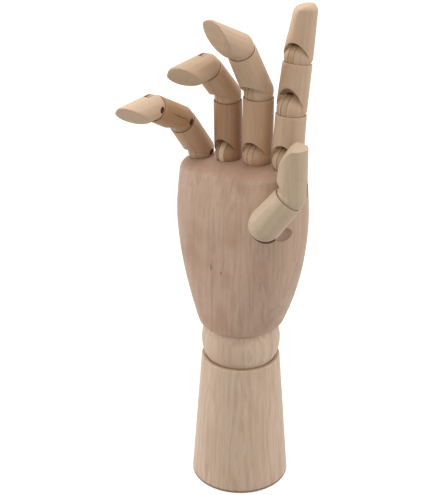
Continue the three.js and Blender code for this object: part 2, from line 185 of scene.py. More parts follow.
def turn(first: int, degrees: float) -> Array:
    """Matrix of a turn that carries one axis towards the next.

    Args:
        first: Number of the axis that is carried.
        degrees: Angle of the turn.

    Returns:
        The 4 by 4 matrix.
    """
    c, s = math.cos(math.radians(degrees)), math.sin(math.radians(degrees))
    matrix = np.eye(4)
    matrix[first : first + 2, first : first + 2] = ((c, -s), (s, c))
    return matrix


def turn_x(degrees: float) -> Array:
    """Returns the matrix of a turn about X."""
    return turn(1, degrees)


def turn_z(degrees: float) -> Array:
    """Returns the matrix of a turn about Z."""
    return turn(0, degrees)


def moved(points: Array, place: Array) -> Array:
    """Returns points carried by a 4 by 4 matrix."""
    return points @ place[:3, :3].T + place[:3, 3]


def brought_home(points: Array, place: Array) -> Array:
    """Returns points in the frame of a placed piece."""
    return (points - place[:3, 3]) @ place[:3, :3]


def looking(place: Array, forward: Array) -> Matrix:
    """Matrix of something that looks forward and is level with the floor.

    Args:
        place: Its place in millimetres.
        forward: Unit direction in which it looks.

    Returns:
        The matrix, in metres.
    """
    right = np.cross(forward, (0.0, 0.0, 1.0))
    right /= np.linalg.norm(right)
    matrix = np.eye(4)
    matrix[:3, :3] = np.stack([right, np.cross(right, forward), -forward], axis=-1)
    matrix[:3, 3] = place * MM
    return Matrix(matrix.tolist())


# Surfaces


def smooth(u: Array) -> Array:
    """Returns u^2 (3 - 2u), for u kept between 0 and 1."""
    u = np.clip(u, 0.0, 1.0)
    return u**2 * (3.0 - 2.0 * u)


def ring_angles(columns: int) -> Array:
    """Returns angles round Z that start at the palm side and run anticlockwise."""
    return np.arange(columns) * (2.0 * np.pi / columns)


def round_axis(reach: Array, height: Array, angle: Array) -> Array:
    """Points round Z: (reach sin a, -reach cos a, height) at ring angle a.

    Args:
        reach: Distances from the axis.
        height: Heights.
        angle: Ring angles, from the palm side.

    Returns:
        Points with the shape of the arrays.
    """
    x = reach * np.sin(angle)
    return np.stack([x, -reach * np.cos(angle), np.broadcast_to(height, x.shape)], axis=-1)


def arc(radius: float, centre: float, start: float, end: float, steps: int) -> Array:
    """Profile of an arc about a point on the axis.

    The point at angle a is (radius cos a, centre + radius sin a).

    Args:
        radius: Radius of the arc.
        centre: Height of its centre on the axis.
        start: First elevation in radians.
        end: Last elevation in radians.
        steps: Number of points.

    Returns:
        Rows of (radius, height).
    """
    angle = np.linspace(start, end, steps)
    return np.stack([radius * np.cos(angle), centre + radius * np.sin(angle)], axis=-1)


def bar_profile(radius: float, start: float, end: float, ease: float) -> Array:
    """Profile of a round bar: out along one end, up the side and in along the other.

    Args:
        radius: Radius of the bar.
        start: Lower end.
        end: Upper end.
        ease: Width of the bevel at each end.

    Returns:
        Rows of (radius, height).
    """
    return np.array(
        [
            (0.0, start),
            (radius - ease, start),
            (radius, start + ease),
            (radius, end - ease),
            (radius - ease, end),
            (0.0, end),
        ]
    )


def turned(profile: Array, columns: int) -> Array:
    """Returns the grid of a turned surface: each profile point (radius, height) swept round Z."""
    return round_axis(profile[:, :1], profile[:, 1:], ring_angles(columns))


def stick(radius: float, start: float, end: float, ease: float, columns: int) -> Array:
    """Grid of a round bar along X with eased ends: a turned bar whose Z axis is laid along X.

    Args:
        radius: Radius of the bar.
        start: Lower end along X.
        end: Upper end along X.
        ease: Width of the bevel at each end.
        columns: Points in each ring.

    Returns:
        Points by ring and column.
    """
    return turned(bar_profile(radius, start, end, ease), columns)[..., [2, 0, 1]]


def ball_grid(radius: float, columns: int) -> Array:
    """Returns a sphere about the origin as a turned half circle."""
    half = np.pi / 2.0
    return turned(arc(radius, 0.0, -half, half, columns // 2), columns)


def prism(outline: Array, low: float, high: float) -> Array:
    """Grid of an upright prism: an outline round a centre point, carried from height to height.

    Args:
        outline: Rows of (x, y) that run anticlockwise.
        low: Lower height.
        high: Upper height.

    Returns:
        Points by ring and column, with a middle point at each end.
    """
    middle = np.broadcast_to(outline.mean(axis=0), outline.shape)
    flat = np.stack([middle, outline, outline, middle])
    heights = np.array([low, low, high, high])[:, None, None]
    return np.concatenate([flat, np.broadcast_to(heights, flat.shape[:2] + (1,))], axis=-1)


def ring_faces(rows: int, columns: int) -> NDArray[np.int64]:
    """Quads between neighbouring rings whose columns close on themselves.

    Args:
        rows: Number of rings.
        columns: Points in each ring.

    Returns:
        Rows of four point numbers.
    """
    first = np.arange(rows - 1)[:, None] * columns
    column = np.arange(columns)[None, :]
    here, following = first + column, first + (column + 1) % columns
    return np.stack([here, following, following + columns, here + columns], axis=-1).reshape(-1, 4)


def solid(name: str, points: Array) -> Piece:
    """Makes a closed mesh object from rings of points.

    A ring that has shrunk to one point is merged into a pole, and a last ring that lies on the
    first closes a loop.

    Args:
        name: Name of the object.
        points: Points by ring and column, in millimetres.

    Returns:
        The new object, linked to the scene.
    """
    rows, columns, _ = points.shape
    mesh = bpy.data.meshes.new(name)
    mesh.from_pydata((points.reshape(-1, 3) * MM).tolist(), [], ring_faces(rows, columns).tolist())
    work = bmesh.new()
    work.from_mesh(mesh)
    bmesh.ops.remove_doubles(work, verts=work.verts, dist=MERGE)
    bmesh.ops.dissolve_degenerate(work, edges=work.edges, dist=THIN)
    bmesh.ops.recalc_face_normals(work, faces=work.faces)
    work.to_mesh(mesh)
    work.free()
    piece = bpy.data.objects.new(name, mesh)
    bpy.context.scene.collection.objects.link(piece)
    return piece


def is_closed(mesh: bpy.types.Mesh) -> bool:
    """Tells whether every edge of a mesh lies between two faces.

    Args:
        mesh: Mesh to look at.

    Returns:
        True if it is closed, False if an edge is open or it is empty.
    """
    edges = np.empty(len(mesh.loops), dtype=np.int32)
    mesh.loops.foreach_get("edge_index", edges)
    return len(edges) > 0 and bool(np.all(np.bincount(edges, minlength=len(mesh.edges)) == 2))


def cut_away(piece: Piece, points: Array) -> bpy.types.Mesh:
    """Mesh of a piece without the solid inside rings of points.

    Args:
        piece: Object to cut, which stays as it is.
        points: Points of the cutter by ring and column, in millimetres.

    Returns:
        The new mesh.
    """
    cutter = solid("cutter", points)
    cut = piece.modifiers.new("cut", "BOOLEAN")
    cut.operation = "DIFFERENCE"
    cut.solver = "EXACT"
    cut.object = cutter
    graph = bpy.context.evaluated_depsgraph_get()
    carved = bpy.data.meshes.new_from_object(piece.evaluated_get(graph))
    piece.modifiers.clear()
    shape = cutter.data
    bpy.data.objects.remove(cutter)
    bpy.data.meshes.remove(shape)
    return carved


def carve(piece: Piece, points: Array) -> None:
    """Cuts the solid inside rings of points out of a piece.

    Where the cut leaves an edge open, it is made again with the cutter nudged by some microns. If
    none is clean, the piece stays as it was, with a warning.

    Args:
        piece: Object to cut.
        points: Points of the cutter by ring and column, in millimetres.
    """
    for nudge in NUDGES:
        carved = cut_away(piece, points + nudge * NUDGE_WAY)
        if is_closed(carved):
            break
        bpy.data.meshes.remove(carved)
    else:
        log.warning("%s: no clean cut was found, so one is left out", piece.name)
        return
    whole = piece.data
    name = whole.name
    piece.data = carved
    bpy.data.meshes.remove(whole)
    carved.name = name


def settle(piece: Piece, place: Array) -> None:
    """Moves a piece's mesh from its own frame to its place.

    Args:
        piece: Object whose mesh is moved.
        place: Frame of its place, in millimetres.
    """
    place = place.copy()
    place[:3, 3] *= MM
    piece.data.transform(Matrix(place.tolist()))


# Finishes


def linear(colour: Colour) -> tuple[float, float, float, float]:
    """Turns a display colour into linear light with full opacity.

    Args:
        colour: Red, green and blue of 0 to 255.

    Returns:
        Red, green, blue and opacity of 0 to 1.
    """
    share = np.asarray(colour) / 255.0
    light = np.where(share <= 0.04045, share / 12.92, ((share + 0.055) / 1.055) ** 2.4)
    return (*light.tolist(), 1.0)


class NodeSheet:
    """Adds and links the nodes of one material or sky."""

    def __init__(self, owner: Material | bpy.types.World) -> None:
        """Starts from the owner's own shader and output.

        Args:
            owner: Material or sky that the nodes belong to.
        """
        owner.use_nodes = True
        self.tree = owner.node_tree
        sky = isinstance(owner, bpy.types.World)
        self.shader = self.tree.nodes["Background" if sky else "Principled BSDF"]

    def node(self, kind: str, **settings: object) -> bpy.types.Node:
        """Adds a node.

        Args:
            kind: Its type.
            settings: Its properties, by name.

        Returns:
            The new node.
        """
        made = self.tree.nodes.new(kind)
        for key, value in settings.items():
            setattr(made, key, value)
        return made

    def fill(self, node: bpy.types.Node, inputs: dict[str | int, object]) -> bpy.types.Node:
        """Feeds a node's inputs: each is linked to an output, or set to a value of its own.

        Args:
            node: Node to feed.
            inputs: Outputs or values, by the inputs' names or numbers.

        Returns:
            The same node.
        """
        for key, value in inputs.items():
            if isinstance(value, Socket):
                self.tree.links.new(value, node.inputs[key])
            else:
                node.inputs[key].default_value = value
        return node

    def shade(self, inputs: dict[str, object]) -> None:
        """Feeds the shader's inputs, by their names."""
        self.fill(self.shader, inputs)

    def attribute(self, name: str, output: str) -> Socket:
        """Returns an output of one of the piece's own attributes."""
        return self.node("ShaderNodeAttribute", attribute_name=name).outputs[output]

    def math(self, operation: str, *terms: object) -> Socket:
        """Returns the result of one sum on numbers."""
        made = self.node("ShaderNodeMath", operation=operation)
        return self.fill(made, dict(enumerate(terms))).outputs[0]

    def vector(self, operation: str, *terms: object) -> Socket:
        """Works out one sum on vectors.

        Args:
            operation: Kind of sum.
            terms: Its vectors.

        Returns:
            The resulting vector, or a number where the sum is a length.
        """
        made = self.node("ShaderNodeVectorMath", operation=operation)
        self.fill(made, dict(enumerate(terms)))
        return made.outputs["Value" if operation == "LENGTH" else "Vector"]

    def noise(self, place: Socket, cells: Triple, detail: float, output: str = "Fac") -> Socket:
        """Adds soft noise.

        Args:
            place: Vector that it is read at.
            cells: Its cells for each unit along the three axes.
            detail: Number of finer layers in it.
            output: Output that is taken.

        Returns:
            The noise.
        """
        made = self.node("ShaderNodeTexNoise")
        drawn = self.vector("MULTIPLY", place, cells)
        self.fill(made, {"Vector": drawn, "Scale": 1.0, "Detail": detail, "Roughness": 0.6})
        return made.outputs[output]

    def ramp(self, value: Socket, low: float, high: float, top: float) -> Socket:
        """Adds a smooth rise.

        Args:
            value: Number that is followed.
            low: Where the rise starts from 0.
            high: Where it ends.
            top: How high it ends.

        Returns:
            The height of the rise.
        """
        made = self.node("ShaderNodeMapRange", interpolation_type="SMOOTHSTEP")
        ends = {"From Min": low, "From Max": high, "To Min": 0.0, "To Max": top}
        return self.fill(made, {"Value": value, **ends}).outputs["Result"]

    def mix(self, share: Socket, first: object, second: object) -> Socket:
        """Returns a colour between two others."""
        made = self.node("ShaderNodeMix", data_type="RGBA")
        return self.fill(made, {"Factor": share, 6: first, 7: second}).outputs[2]

    def bump(self, height: Socket, strength: float, depth: float) -> Socket:
        """Adds relief.

        Args:
            height: Height of the relief.
            strength: How much of it shows.
            depth: Its depth in millimetres at height 1.

        Returns:
            The bent normal.
        """
        made = self.node("ShaderNodeBump")
        self.fill(made, {"Height": height, "Strength": strength, "Distance": depth * MM})
        return made.outputs["Normal"]


@dataclass(frozen=True)
class DarkPatch:
    """A soft dark spindle about a point of the piece: the wood's flecks, and one broad patch of
    painted shade.

    Attributes:
        middle: Its middle in the piece's own frame.
        spread: Half sizes along the piece's own axes.
        depth: How much of the dark colour it takes.
        lean: Sideways run for each millimetre upwards.
    """

    middle: Triple
    spread: Triple
    depth: float
    lean: float = 0.0


@dataclass(frozen=True)
class WoodFinish:
    """Pale close-grained wood, sanded and left plain.

    Attributes:
        name: Name of the material.
        ground: Main colour.
        streak: Colour of the darker growth bands.
        end_grain: Colour of the faces cut across the grain.
        fleck_and_shade: Colour of pores and flecks, and of the painted shade in cups, slots, holes
            and notches.
        figure: Strength of the growth bands.
        drawn: Strength of the streaks along the grain.
        clouds: Strength of the broad cloudy patches.
        roughness: Mean roughness.
        flecks_and_shade: Dark patches of one piece: flecks of the wood, and on the palm a broad
            patch of painted shade.
    """

    name: str
    ground: Colour
    streak: Colour
    end_grain: Colour
    fleck_and_shade: Colour
    figure: float = 0.16
    drawn: float = 0.5
    clouds: float = 0.35
    roughness: float = 0.56
    flecks_and_shade: tuple[DarkPatch, ...] = ()

    def material(self) -> Material:
        """Builds the wood from the piece's own grain coordinates.

        Growth bands are a sine of the distance from the pith, bent by slow noise. Streaks, fibres
        and pores are noise drawn out along the grain at three widths. Each layer is laid over the
        ground by a smooth rise of its value. Last, faces that take painted shade, in cups, slots,
        holes and notches, are mixed towards the fleck colour.

        Returns:
            The new material.
        """
        made = bpy.data.materials.new(self.name)
        sheet = NodeSheet(made)
        grain = sheet.attribute("grain", "Vector")
        slow = sheet.noise(grain, DRIFT_CELLS, 2.0, "Color")
        drift = sheet.vector("SUBTRACT", slow, (0.5, 0.5, 0.5))
        bent = sheet.vector("ADD", grain, sheet.vector("MULTIPLY", drift, DRIFT_REACH))
        pith = sheet.vector("LENGTH", sheet.vector("MULTIPLY", bent, (1.0, 1.0, 0.0)))
        wave = sheet.math("SINE", sheet.math("MULTIPLY", pith, BAND_RATE))
        fibre = sheet.noise(grain, FIBRE_CELLS, 2.0)
        pore = sheet.noise(grain, PORE_CELLS, 1.0)
        layers = (
            (wave, -0.6, 1.0, self.figure, self.streak),
            (sheet.noise(bent, STREAK_CELLS, 4.0), 0.42, 0.72, self.drawn, self.streak),
            (sheet.noise(grain, CLOUD_CELLS, 2.0), 0.4, 0.72, self.clouds, self.end_grain),
            (fibre, 0.5, 0.8, 0.22, self.streak),
            (pore, 0.68, 0.78, 0.3, self.fleck_and_shade),
            (sheet.attribute("end", "Fac"), 0.35, 1.0, 0.5, self.end_grain),
        )
        colour = linear(self.ground)
        for value, low, high, top, tint in layers:
            colour = sheet.mix(sheet.ramp(value, low, high, top), colour, linear(tint))
        for patch in self.flecks_and_shade:
            colour = self.marked(sheet, colour, patch)
        # Painted shade: marked faces are mixed most of the way to the fleck colour, standing in for
        # the shade in hollows
        shade_share = sheet.math("MULTIPLY", sheet.attribute("painted_shade", "Fac"), 0.8)
        relief = sheet.math("SUBTRACT", fibre, sheet.ramp(pore, 0.62, 0.76, 0.8))
        sheet.shade(
            {
                "Base Color": sheet.mix(shade_share, colour, linear(self.fleck_and_shade)),
                "Roughness": sheet.math("MULTIPLY_ADD", fibre, 0.16, self.roughness - 0.08),
                "Normal": sheet.bump(relief, 0.35, 0.06),
                "Specular IOR Level": 0.45,
                "Sheen Weight": 0.1,
                "Sheen Roughness": 0.4,
            }
        )
        return made

    def marked(self, sheet: NodeSheet, colour: Socket, patch: DarkPatch) -> Socket:
        """Adds one dark patch to a colour.

        Args:
            sheet: Nodes of the material.
            colour: Colour before the patch.
            patch: Place and size of the patch.

        Returns:
            The colour with the patch in it.
        """
        place = sheet.attribute("place", "Vector")
        offset = sheet.vector("SUBTRACT", place, patch.middle)
        if patch.lean:
            parts = sheet.fill(sheet.node("ShaderNodeSeparateXYZ"), {0: offset}).outputs
            run = sheet.math("MULTIPLY", parts["Z"], patch.lean)
            across = sheet.math("SUBTRACT", parts["X"], run)
            upright = {"X": across, "Y": parts["Y"], "Z": parts["Z"]}
            offset = sheet.fill(sheet.node("ShaderNodeCombineXYZ"), upright).outputs[0]
        share = tuple(1.0 / half for half in patch.spread)
        near = sheet.vector("LENGTH", sheet.vector("MULTIPLY", offset, share))
        ragged = sheet.math("SUBTRACT", sheet.noise(place, RAGGED_CELLS, 2.0), 0.5)
        edge = sheet.math("ADD", near, ragged)
        shown = sheet.math("SUBTRACT", patch.depth, sheet.ramp(edge, 0.2, 1.1, patch.depth))
        return sheet.mix(shown, colour, linear(self.fleck_and_shade))


@dataclass(frozen=True)
class SteelFinish:
    """Drawn steel wire, dull grey with fine marks along it."""

    name: str = "drawn_steel"
    ground: Colour = (150, 153, 156)
    dull: Colour = (96, 98, 101)
    roughness: float = 0.36

    def material(self) -> Material:
        """Builds the steel: two greys mixed by noise on Object coordinates, and a fine bump.

        Returns:
            The new material.
        """
        made = bpy.data.materials.new(self.name)
        sheet = NodeSheet(made)
        cloud = sheet.noise(sheet.node("ShaderNodeTexCoord").outputs["Object"], STEEL_CELLS, 3.0)
        shown = sheet.ramp(cloud, 0.4, 0.75, 0.7)
        sheet.shade(
            {
                "Base Color": sheet.mix(shown, linear(self.ground), linear(self.dull)),
                "Roughness": sheet.math("MULTIPLY_ADD", cloud, 0.2, self.roughness - 0.1),
                "Metallic": 1.0,
                "Normal": sheet.bump(cloud, 0.2, 0.02),
            }
        )
        return made


@dataclass(frozen=True)
class Grain:
    """How a piece was cut from its plank.

    Attributes:
        place: Frame of the piece, whose Z axis the grain follows.
        pith: Where the tree's centre lay across the grain, from the piece's own axis.
        start: Shift along the grain, so that no two pieces show the same figure.
    """

    place: Array
    pith: tuple[float, float]
    start: float


def no_painted_shade(points: Array) -> Array:
    """Returns no share of painted shade for any point."""
    return np.zeros(len(points))


def note(mesh: bpy.types.Mesh, name: str, domain: str, values: Array) -> None:
    """Writes numbers, or rows of vectors, as an attribute of a mesh.

    Args:
        mesh: Mesh that gets the attribute.
        name: Name of the attribute.
        domain: What it belongs to: points, corners or faces.
        values: One number or vector for each of them.
    """
    kind, key = ("FLOAT_VECTOR", "vector") if values.ndim == 2 else ("FLOAT", "value")
    made = mesh.attributes.new(name, kind, domain)
    made.data.foreach_set(key, values.astype(np.float32).ravel())


def dress(piece: Piece, material: Material, grain: Grain, painted_shade: Mask = no_painted_shade) -> None:
    """Gives a finished piece its smooth shading, its grain coordinates and its material.

    The attribute grain holds each point in the piece's own frame, moved to its place in the plank;
    place holds it unmoved. The attribute end is how squarely a corner's normal lies along the
    grain. A third attribute, on faces, holds the least share of painted shade among a face's
    points: dark colour painted into cups, slots, holes and notches where shade falls.

    Args:
        piece: Object to dress.
        material: Its wood.
        grain: How it was cut from its plank.
        painted_shade: Share of painted shade at points of the piece's own frame, mostly in cups and
            slots.
    """
    mesh = piece.data
    mesh.shade_smooth()
    mesh.set_sharp_from_angle(angle=math.radians(SHARP_ANGLE))
    flat = np.empty(len(mesh.vertices) * 3)
    mesh.vertices.foreach_get("co", flat)
    own = brought_home(flat.reshape(-1, 3) / MM, grain.place)
    note(mesh, "place", "POINT", own)
    note(mesh, "grain", "POINT", own + np.array([grain.pith[0], grain.pith[1], grain.start]))

    normals = np.empty(len(mesh.loops) * 3)
    mesh.corner_normals.foreach_get("vector", normals)
    note(mesh, "end", "CORNER", np.abs(normals.reshape(-1, 3) @ grain.place[:3, 2]))

    corner = np.empty(len(mesh.loops), dtype=np.int32)
    mesh.loops.foreach_get("vertex_index", corner)
    first = np.empty(len(mesh.polygons), dtype=np.int32)
    mesh.polygons.foreach_get("loop_start", first)
    note(mesh, "painted_shade", "FACE", np.minimum.reduceat(painted_shade(own)[corner], first))
    mesh.materials.clear()
    mesh.materials.append(material)


def hand_over(piece: Piece, body: str, slot: Slot, node: str) -> None:
    """Ties a finished piece to its body, hides the node that it stands for, and logs it.

    Args:
        piece: Finished object.
        body: Body that it moves with.
        slot: Not used.
        node: Node of the frame that it replaces.
    """
    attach(piece, body)
    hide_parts(node)
    log.info("%s on %s, %d faces", piece.name, body, len(piece.data.polygons))


# Hinges


@dataclass(frozen=True)
class Shoulder:
    """Arched notch under a link on the palm side, where the ball shows.

    Attributes:
        rise: Height of the arch's edge at the link's flanks, above the pin.
        apex: Height of the arch's edge at its front.
        turn: How far its front is turned towards the thumb, in degrees.
        undercut: How much faster the notch climbs on the ball than its edge does.
    """

    rise: float
    apex: float
    turn: float = 10.0
    undercut: float = 1.45


@dataclass(frozen=True)
class Hinge:
    """Sizes that every finger joint shares.

    Attributes:
        rim_drop: Depth of the cup's rim below the pin.
        ball_inset: How much less the ball's radius is than the shaft's.
        gap: Play between ball and cup.
        rim_bevel: Size of the bevel round the cup's rim.
        tongue_thickness: Thickness of the wooden tongue.
        tongue_width: Width of the tongue's shank.
        tongue_seat: Depth of the shank below the rim.
        tongue_inset: Depth of the tongue's edge below the ball.
        slot_play: Play at each side of the tongue.
        slot_reach: Depth of the saw slot beyond the ball.
        pin_radius: Radius of the cross pin.
        pin_play: Play round the pin.
        pin_recess: Depth of the pin's end in its hole.
        pin_stop: Wood left beyond the pin's blind end.
        pin_ease: Width of the bevel at the pin's ends.
    """

    rim_drop: float = 3.0
    ball_inset: float = 0.42
    gap: float = 0.27
    rim_bevel: float = 0.2
    tongue_thickness: float = 3.6
    tongue_width: float = 9.0
    tongue_seat: float = 8.0
    tongue_inset: float = 0.12
    slot_play: float = 0.16
    slot_reach: float = 1.8
    pin_radius: float = 1.75
    pin_play: float = 0.25
    pin_recess: float = 1.6
    pin_stop: float = 2.7
    pin_ease: float = 0.25

    def ball_radius(self, radius: float) -> float:
        """Returns the radius of the ball on a link of the given radius."""
        return radius - self.ball_inset

    def cup_radius(self, radius: float) -> float:
        """Returns the radius of the cup for the ball of a link of the given radius."""
        return self.ball_radius(radius) + self.gap

    def slot_half(self) -> float:
        """Returns half the width of the saw slot and of the mortise."""
        return self.tongue_thickness / 2.0 + self.slot_play

    def mortise(self) -> Array:
        """Cutter of the tongue's mortise, a prism below the pin.

        Returns:
            Points by ring and column.
        """
        x, y = self.slot_half(), self.tongue_width / 2.0 + self.slot_play
        depth = self.rim_drop + self.tongue_seat + 2.0 * self.slot_play
        return prism(np.array([(-x, -y), (x, -y), (x, y), (-x, y)]), -depth, 0.0)

    def slot(self, radius: float) -> Array:
        """Cutter of the saw slot, a flat disc about the pin.

        Args:
            radius: Radius of the link above the joint.

        Returns:
            Points by ring and column.
        """
        half = self.slot_half()
        disc = stick(self.ball_radius(radius) + self.slot_reach, -half, half, 0.0, LINK_COLUMNS)
        return moved(disc, turn_x(SLOT_TURN))

    def pin_ends(self, radius: float, side: PinSide) -> tuple[float, float]:
        """Returns the blind end and the open end of a pin along X."""
        return -side.value * (radius - self.pin_stop), side.value * (radius - self.pin_recess)

    def bore(self, radius: float, side: PinSide) -> Array:
        """Cutter of the pin's blind hole, a bar from its stop to outside the link.

        Args:
            radius: Radius of the link above the joint.
            side: Side on which the hole opens.

        Returns:
            Points by ring and column.
        """
        stop, _ = self.pin_ends(radius, side)
        ends = sorted((stop - side.value * self.pin_play, side.value * 2.0 * radius))
        bar = stick(self.pin_radius + self.pin_play, ends[0], ends[1], 0.0, PIN_COLUMNS)
        return moved(bar, turn_x(BORE_TURN))

    def pin(self, radius: float, side: PinSide) -> Array:
        """Returns the grid of the cross pin, a bar with eased ends."""
        ends = sorted(self.pin_ends(radius, side))
        return stick(self.pin_radius, ends[0], ends[1], self.pin_ease, PIN_COLUMNS)

    def tongue(self, radius: float) -> Array:
        """Grid of the tongue: a round head about the pin with a straight shank, given thickness.

        The outline runs round the head's arc and down the shank. It is carried across the
        thickness through two eased edges and closes at a middle point on each face.

        Args:
            radius: Radius of the link above the joint.

        Returns:
            Points by ring and column.
        """
        head = self.ball_radius(radius) - self.tongue_inset
        half = self.tongue_width / 2.0
        start = -math.acos(half / head)
        angle = np.linspace(start, math.pi - start, 65)
        head_rows = np.stack([head * np.cos(angle), head * np.sin(angle)], axis=-1)
        foot = -(self.rim_drop + self.tongue_seat)
        shank = np.linspace(head_rows[-1], (-half, foot), 8)[1:]
        other = np.linspace((half, foot), head_rows[0], 8)[:-1]
        outline = np.concatenate([head_rows, shank, other])
        middle = np.array([0.0, -self.rim_drop])
        ease = 0.97
        shares = np.array([0.0, ease, 1.0, 1.0, ease, 0.0])[:, None, None]
        flat = middle + (outline - middle) * shares
        depth = np.array([-1.0, -1.0, -0.9, 0.9, 1.0, 1.0]) * (self.tongue_thickness / 2.0)
        across = np.broadcast_to(depth[:, None, None], flat.shape[:2] + (1,))
        return np.concatenate([across, flat], axis=-1)


HINGE = Hinge()
THUMB_HINGE = Hinge(slot_reach=3.8)


@dataclass(frozen=True)
class Joint:
    """One hinge of a finger, with its tongue and its pin.

    Attributes:
        name: Name of the joint.
        hinge: Shared joint sizes.
        radius: Radius of the link above the joint.
        side: Side on which the pin hole opens.
    """

    name: str
    hinge: Hinge
    radius: float
    side: PinSide

    def add_tongue(self, wood: Material, place: Array, start: float, body: str) -> None:
        """Makes the tongue on the body below the joint.

        Args:
            wood: Its material.
            place: Frame of the joint before its bend.
            start: Shift along the grain.
            body: Body that holds the tongue.
        """
        node = f"{self.name}_tongue"
        tongue = solid(f"{node}_wood", moved(self.hinge.tongue(self.radius), place))
        dress(tongue, wood, Grain(place, TONGUE_PITH, start))
        hand_over(tongue, body, Slot.TONGUE, node)

    def add_pin(self, wood: Material, place: Array, start: float, body: str) -> None:
        """Makes the cross pin on the link above the joint.

        Args:
            wood: Its material.
            place: Frame of the link.
            start: Shift along the grain.
            body: Body that holds the pin.
        """
        node = f"{self.name}_pin"
        pin = solid(f"{node}_wood", moved(self.hinge.pin(self.radius, self.side), place))
        dress(pin, wood, Grain(place, PIN_PITH, start))
        hand_over(pin, body, Slot.PIN, node)


# Links


@dataclass(frozen=True)
class LinkSize:
    """Sizes of one link between two joints.

    Attributes:
        lower: Radius at its own joint.
        upper: Radius at the joint above, or at the tip.
        length: Distance from its joint to the joint above or to the tip.
        shoulder: Notch under the link on the palm side, if it has one.
    """

    lower: float
    upper: float
    length: float
    shoulder: Shoulder | None

    def radius_at(self, height: Array) -> Array:
        """Returns the shaft's radius, which runs evenly from joint to joint."""
        return self.lower + (self.upper - self.lower) * np.clip(height / self.length, 0.0, 1.0)

    def surface(self, height: Array, angle: Array) -> Array:
        """Returns points of the shaft: circles about the axis, of its radius at each height."""
        return round_axis(self.radius_at(height), height, angle)

    def arch(self, angle: Array) -> Array:
        """Height of the notch's arch: rise + (apex - rise) cos(a - turn) at ring angle a.

        Args:
            angle: Ring angles, from the palm side.

        Returns:
            Heights above the pin, all below the ball where the link has no notch.
        """
        if self.shoulder is None:
            return np.full_like(angle, -self.lower)
        rise, apex = self.shoulder.rise, self.shoulder.apex
        return rise + (apex - rise) * np.cos(angle - math.radians(self.shoulder.turn))

    def flank(self, angle: Array) -> Array:
        """Share by which the notch is closed: 0 in front, smoothly rising to 1 at the flanks.

        Args:
            angle: Ring angles, from the palm side.

        Returns:
            Shares with the shape of the angles, all 1 where the link has no notch.
        """
        if self.shoulder is None:
            return np.ones_like(angle)
        return smooth((np.arccos(np.cos(angle)) - NOTCH_CLOSES) / NOTCH_EASE)

    def dome(self, elevation: Array, angle: Array, ball: float) -> Array:
        """Distance from the pin to the link's end: a ball that widens into the shaft at the flanks.

        Args:
            elevation: Elevations seen from the middle of the pin.
            angle: Ring angles, from the palm side.
            ball: Radius of the ball.

        Returns:
            Distances with the shape of the elevations.
        """
        share = self.flank(angle) * np.clip(elevation / BACK_BLEND + 1.0, 0.0, 1.0)
        wall = self.lower / np.cos(np.clip(elevation, 0.0, NOTCH_STEEPEST))
        return ball + share * (wall - ball)

    def foot(self, ball: float) -> Array:
        """Rings of the link's round end and of the notch in front of it.

        The rings climb the round end to an elevation set by the arch at each column. From there a
        straight roof runs out to the arch's edge on the shaft.

        Args:
            ball: Radius of the ball.

        Returns:
            Points by ring and column, from the ball's lowest point to the shaft.
        """
        angle = ring_angles(LINK_COLUMNS)
        flank = self.flank(angle)
        arch = np.clip(self.arch(angle), LEAST_ARCH, None)
        undercut = self.shoulder.undercut if self.shoulder else 1.0
        climb = np.arctan2(arch, self.lower) * (undercut + (1.0 - undercut) * flank)
        climb = np.minimum(climb, NOTCH_STEEPEST)
        share = np.linspace(0.0, 1.0, END_ROWS)[:, None]
        elevation = share * (climb + np.pi / 2.0) - np.pi / 2.0
        far = self.dome(elevation, angle, ball)
        rings = round_axis(far * np.cos(elevation), far * np.sin(elevation), angle)
        edge = self.surface(arch + FLANK_STEP * flank, angle)
        outward = np.linspace(0.0, 1.0, ROOF_ROWS)[1:, None, None]
        roof = rings[-1] + outward * (edge - rings[-1])
        return np.concatenate([rings, roof])

    def shaft(self, foot: Array, top: float, climb: Array) -> Array:
        """Rings of the shaft from the foot's last ring up to a height.

        Args:
            foot: Rings of the foot.
            top: Height where the shaft ends.
            climb: Share of the way up at each ring, from 0 at the foot's last ring.

        Returns:
            Points by ring and column.
        """
        start = foot[-1, :, 2]
        return self.surface(start + climb[1:, None] * (top - start), ring_angles(LINK_COLUMNS))

    def grid(self, hinge: Hinge) -> Array:
        """Grid of a whole link: ball, notch, tapered shaft, bevelled rim and the cup in its top.

        Args:
            hinge: Shared joint sizes.

        Returns:
            Points by ring and column.
        """
        foot = self.foot(hinge.ball_radius(self.lower))
        top = self.length - hinge.rim_drop
        cup = hinge.cup_radius(self.upper)
        inside = math.sqrt(cup**2 - hinge.rim_drop**2)
        outside = float(self.radius_at(np.array(top)))
        bevel = hinge.rim_bevel
        shaft = self.shaft(foot, top - bevel, np.linspace(0.0, 1.0, SHAFT_ROWS))
        rim = np.array(
            [
                (outside - 0.3 * bevel, top - 0.3 * bevel),
                (outside - bevel, top),
                (inside + 0.04, top),
            ]
        )
        edge = -math.asin(hinge.rim_drop / cup)
        bowl = arc(cup, self.length, edge - 0.01, -np.pi / 2.0, CUP_ROWS)
        return np.concatenate([foot, shaft, turned(np.concatenate([rim, bowl]), LINK_COLUMNS)])


@dataclass(frozen=True)
class Pad:
    """Slanting slice that leaves a pad on a fingertip's palm side.

    Attributes:
        angle: Angle between the pad and the finger's axis.
        start: Where the slice enters the tip, as a share of its radius behind the axis.
        twist: How far the pad is turned towards the thumb.
        bow: How much steeper the slice is at the tip than lower down.
        edge: Softness of the pad's edge at the tip.
        fade: Softness of the pad's edge where it runs out.
        crown: Length over which the very tip rounds off.
        trim: How much the tip is shortened.
    """

    angle: float = 31.0
    start: float = 0.97
    twist: float = 12.0
    bow: float = 0.0
    edge: float = 0.7
    fade: float = 3.0
    crown: float = 1.2
    trim: float = 0.0


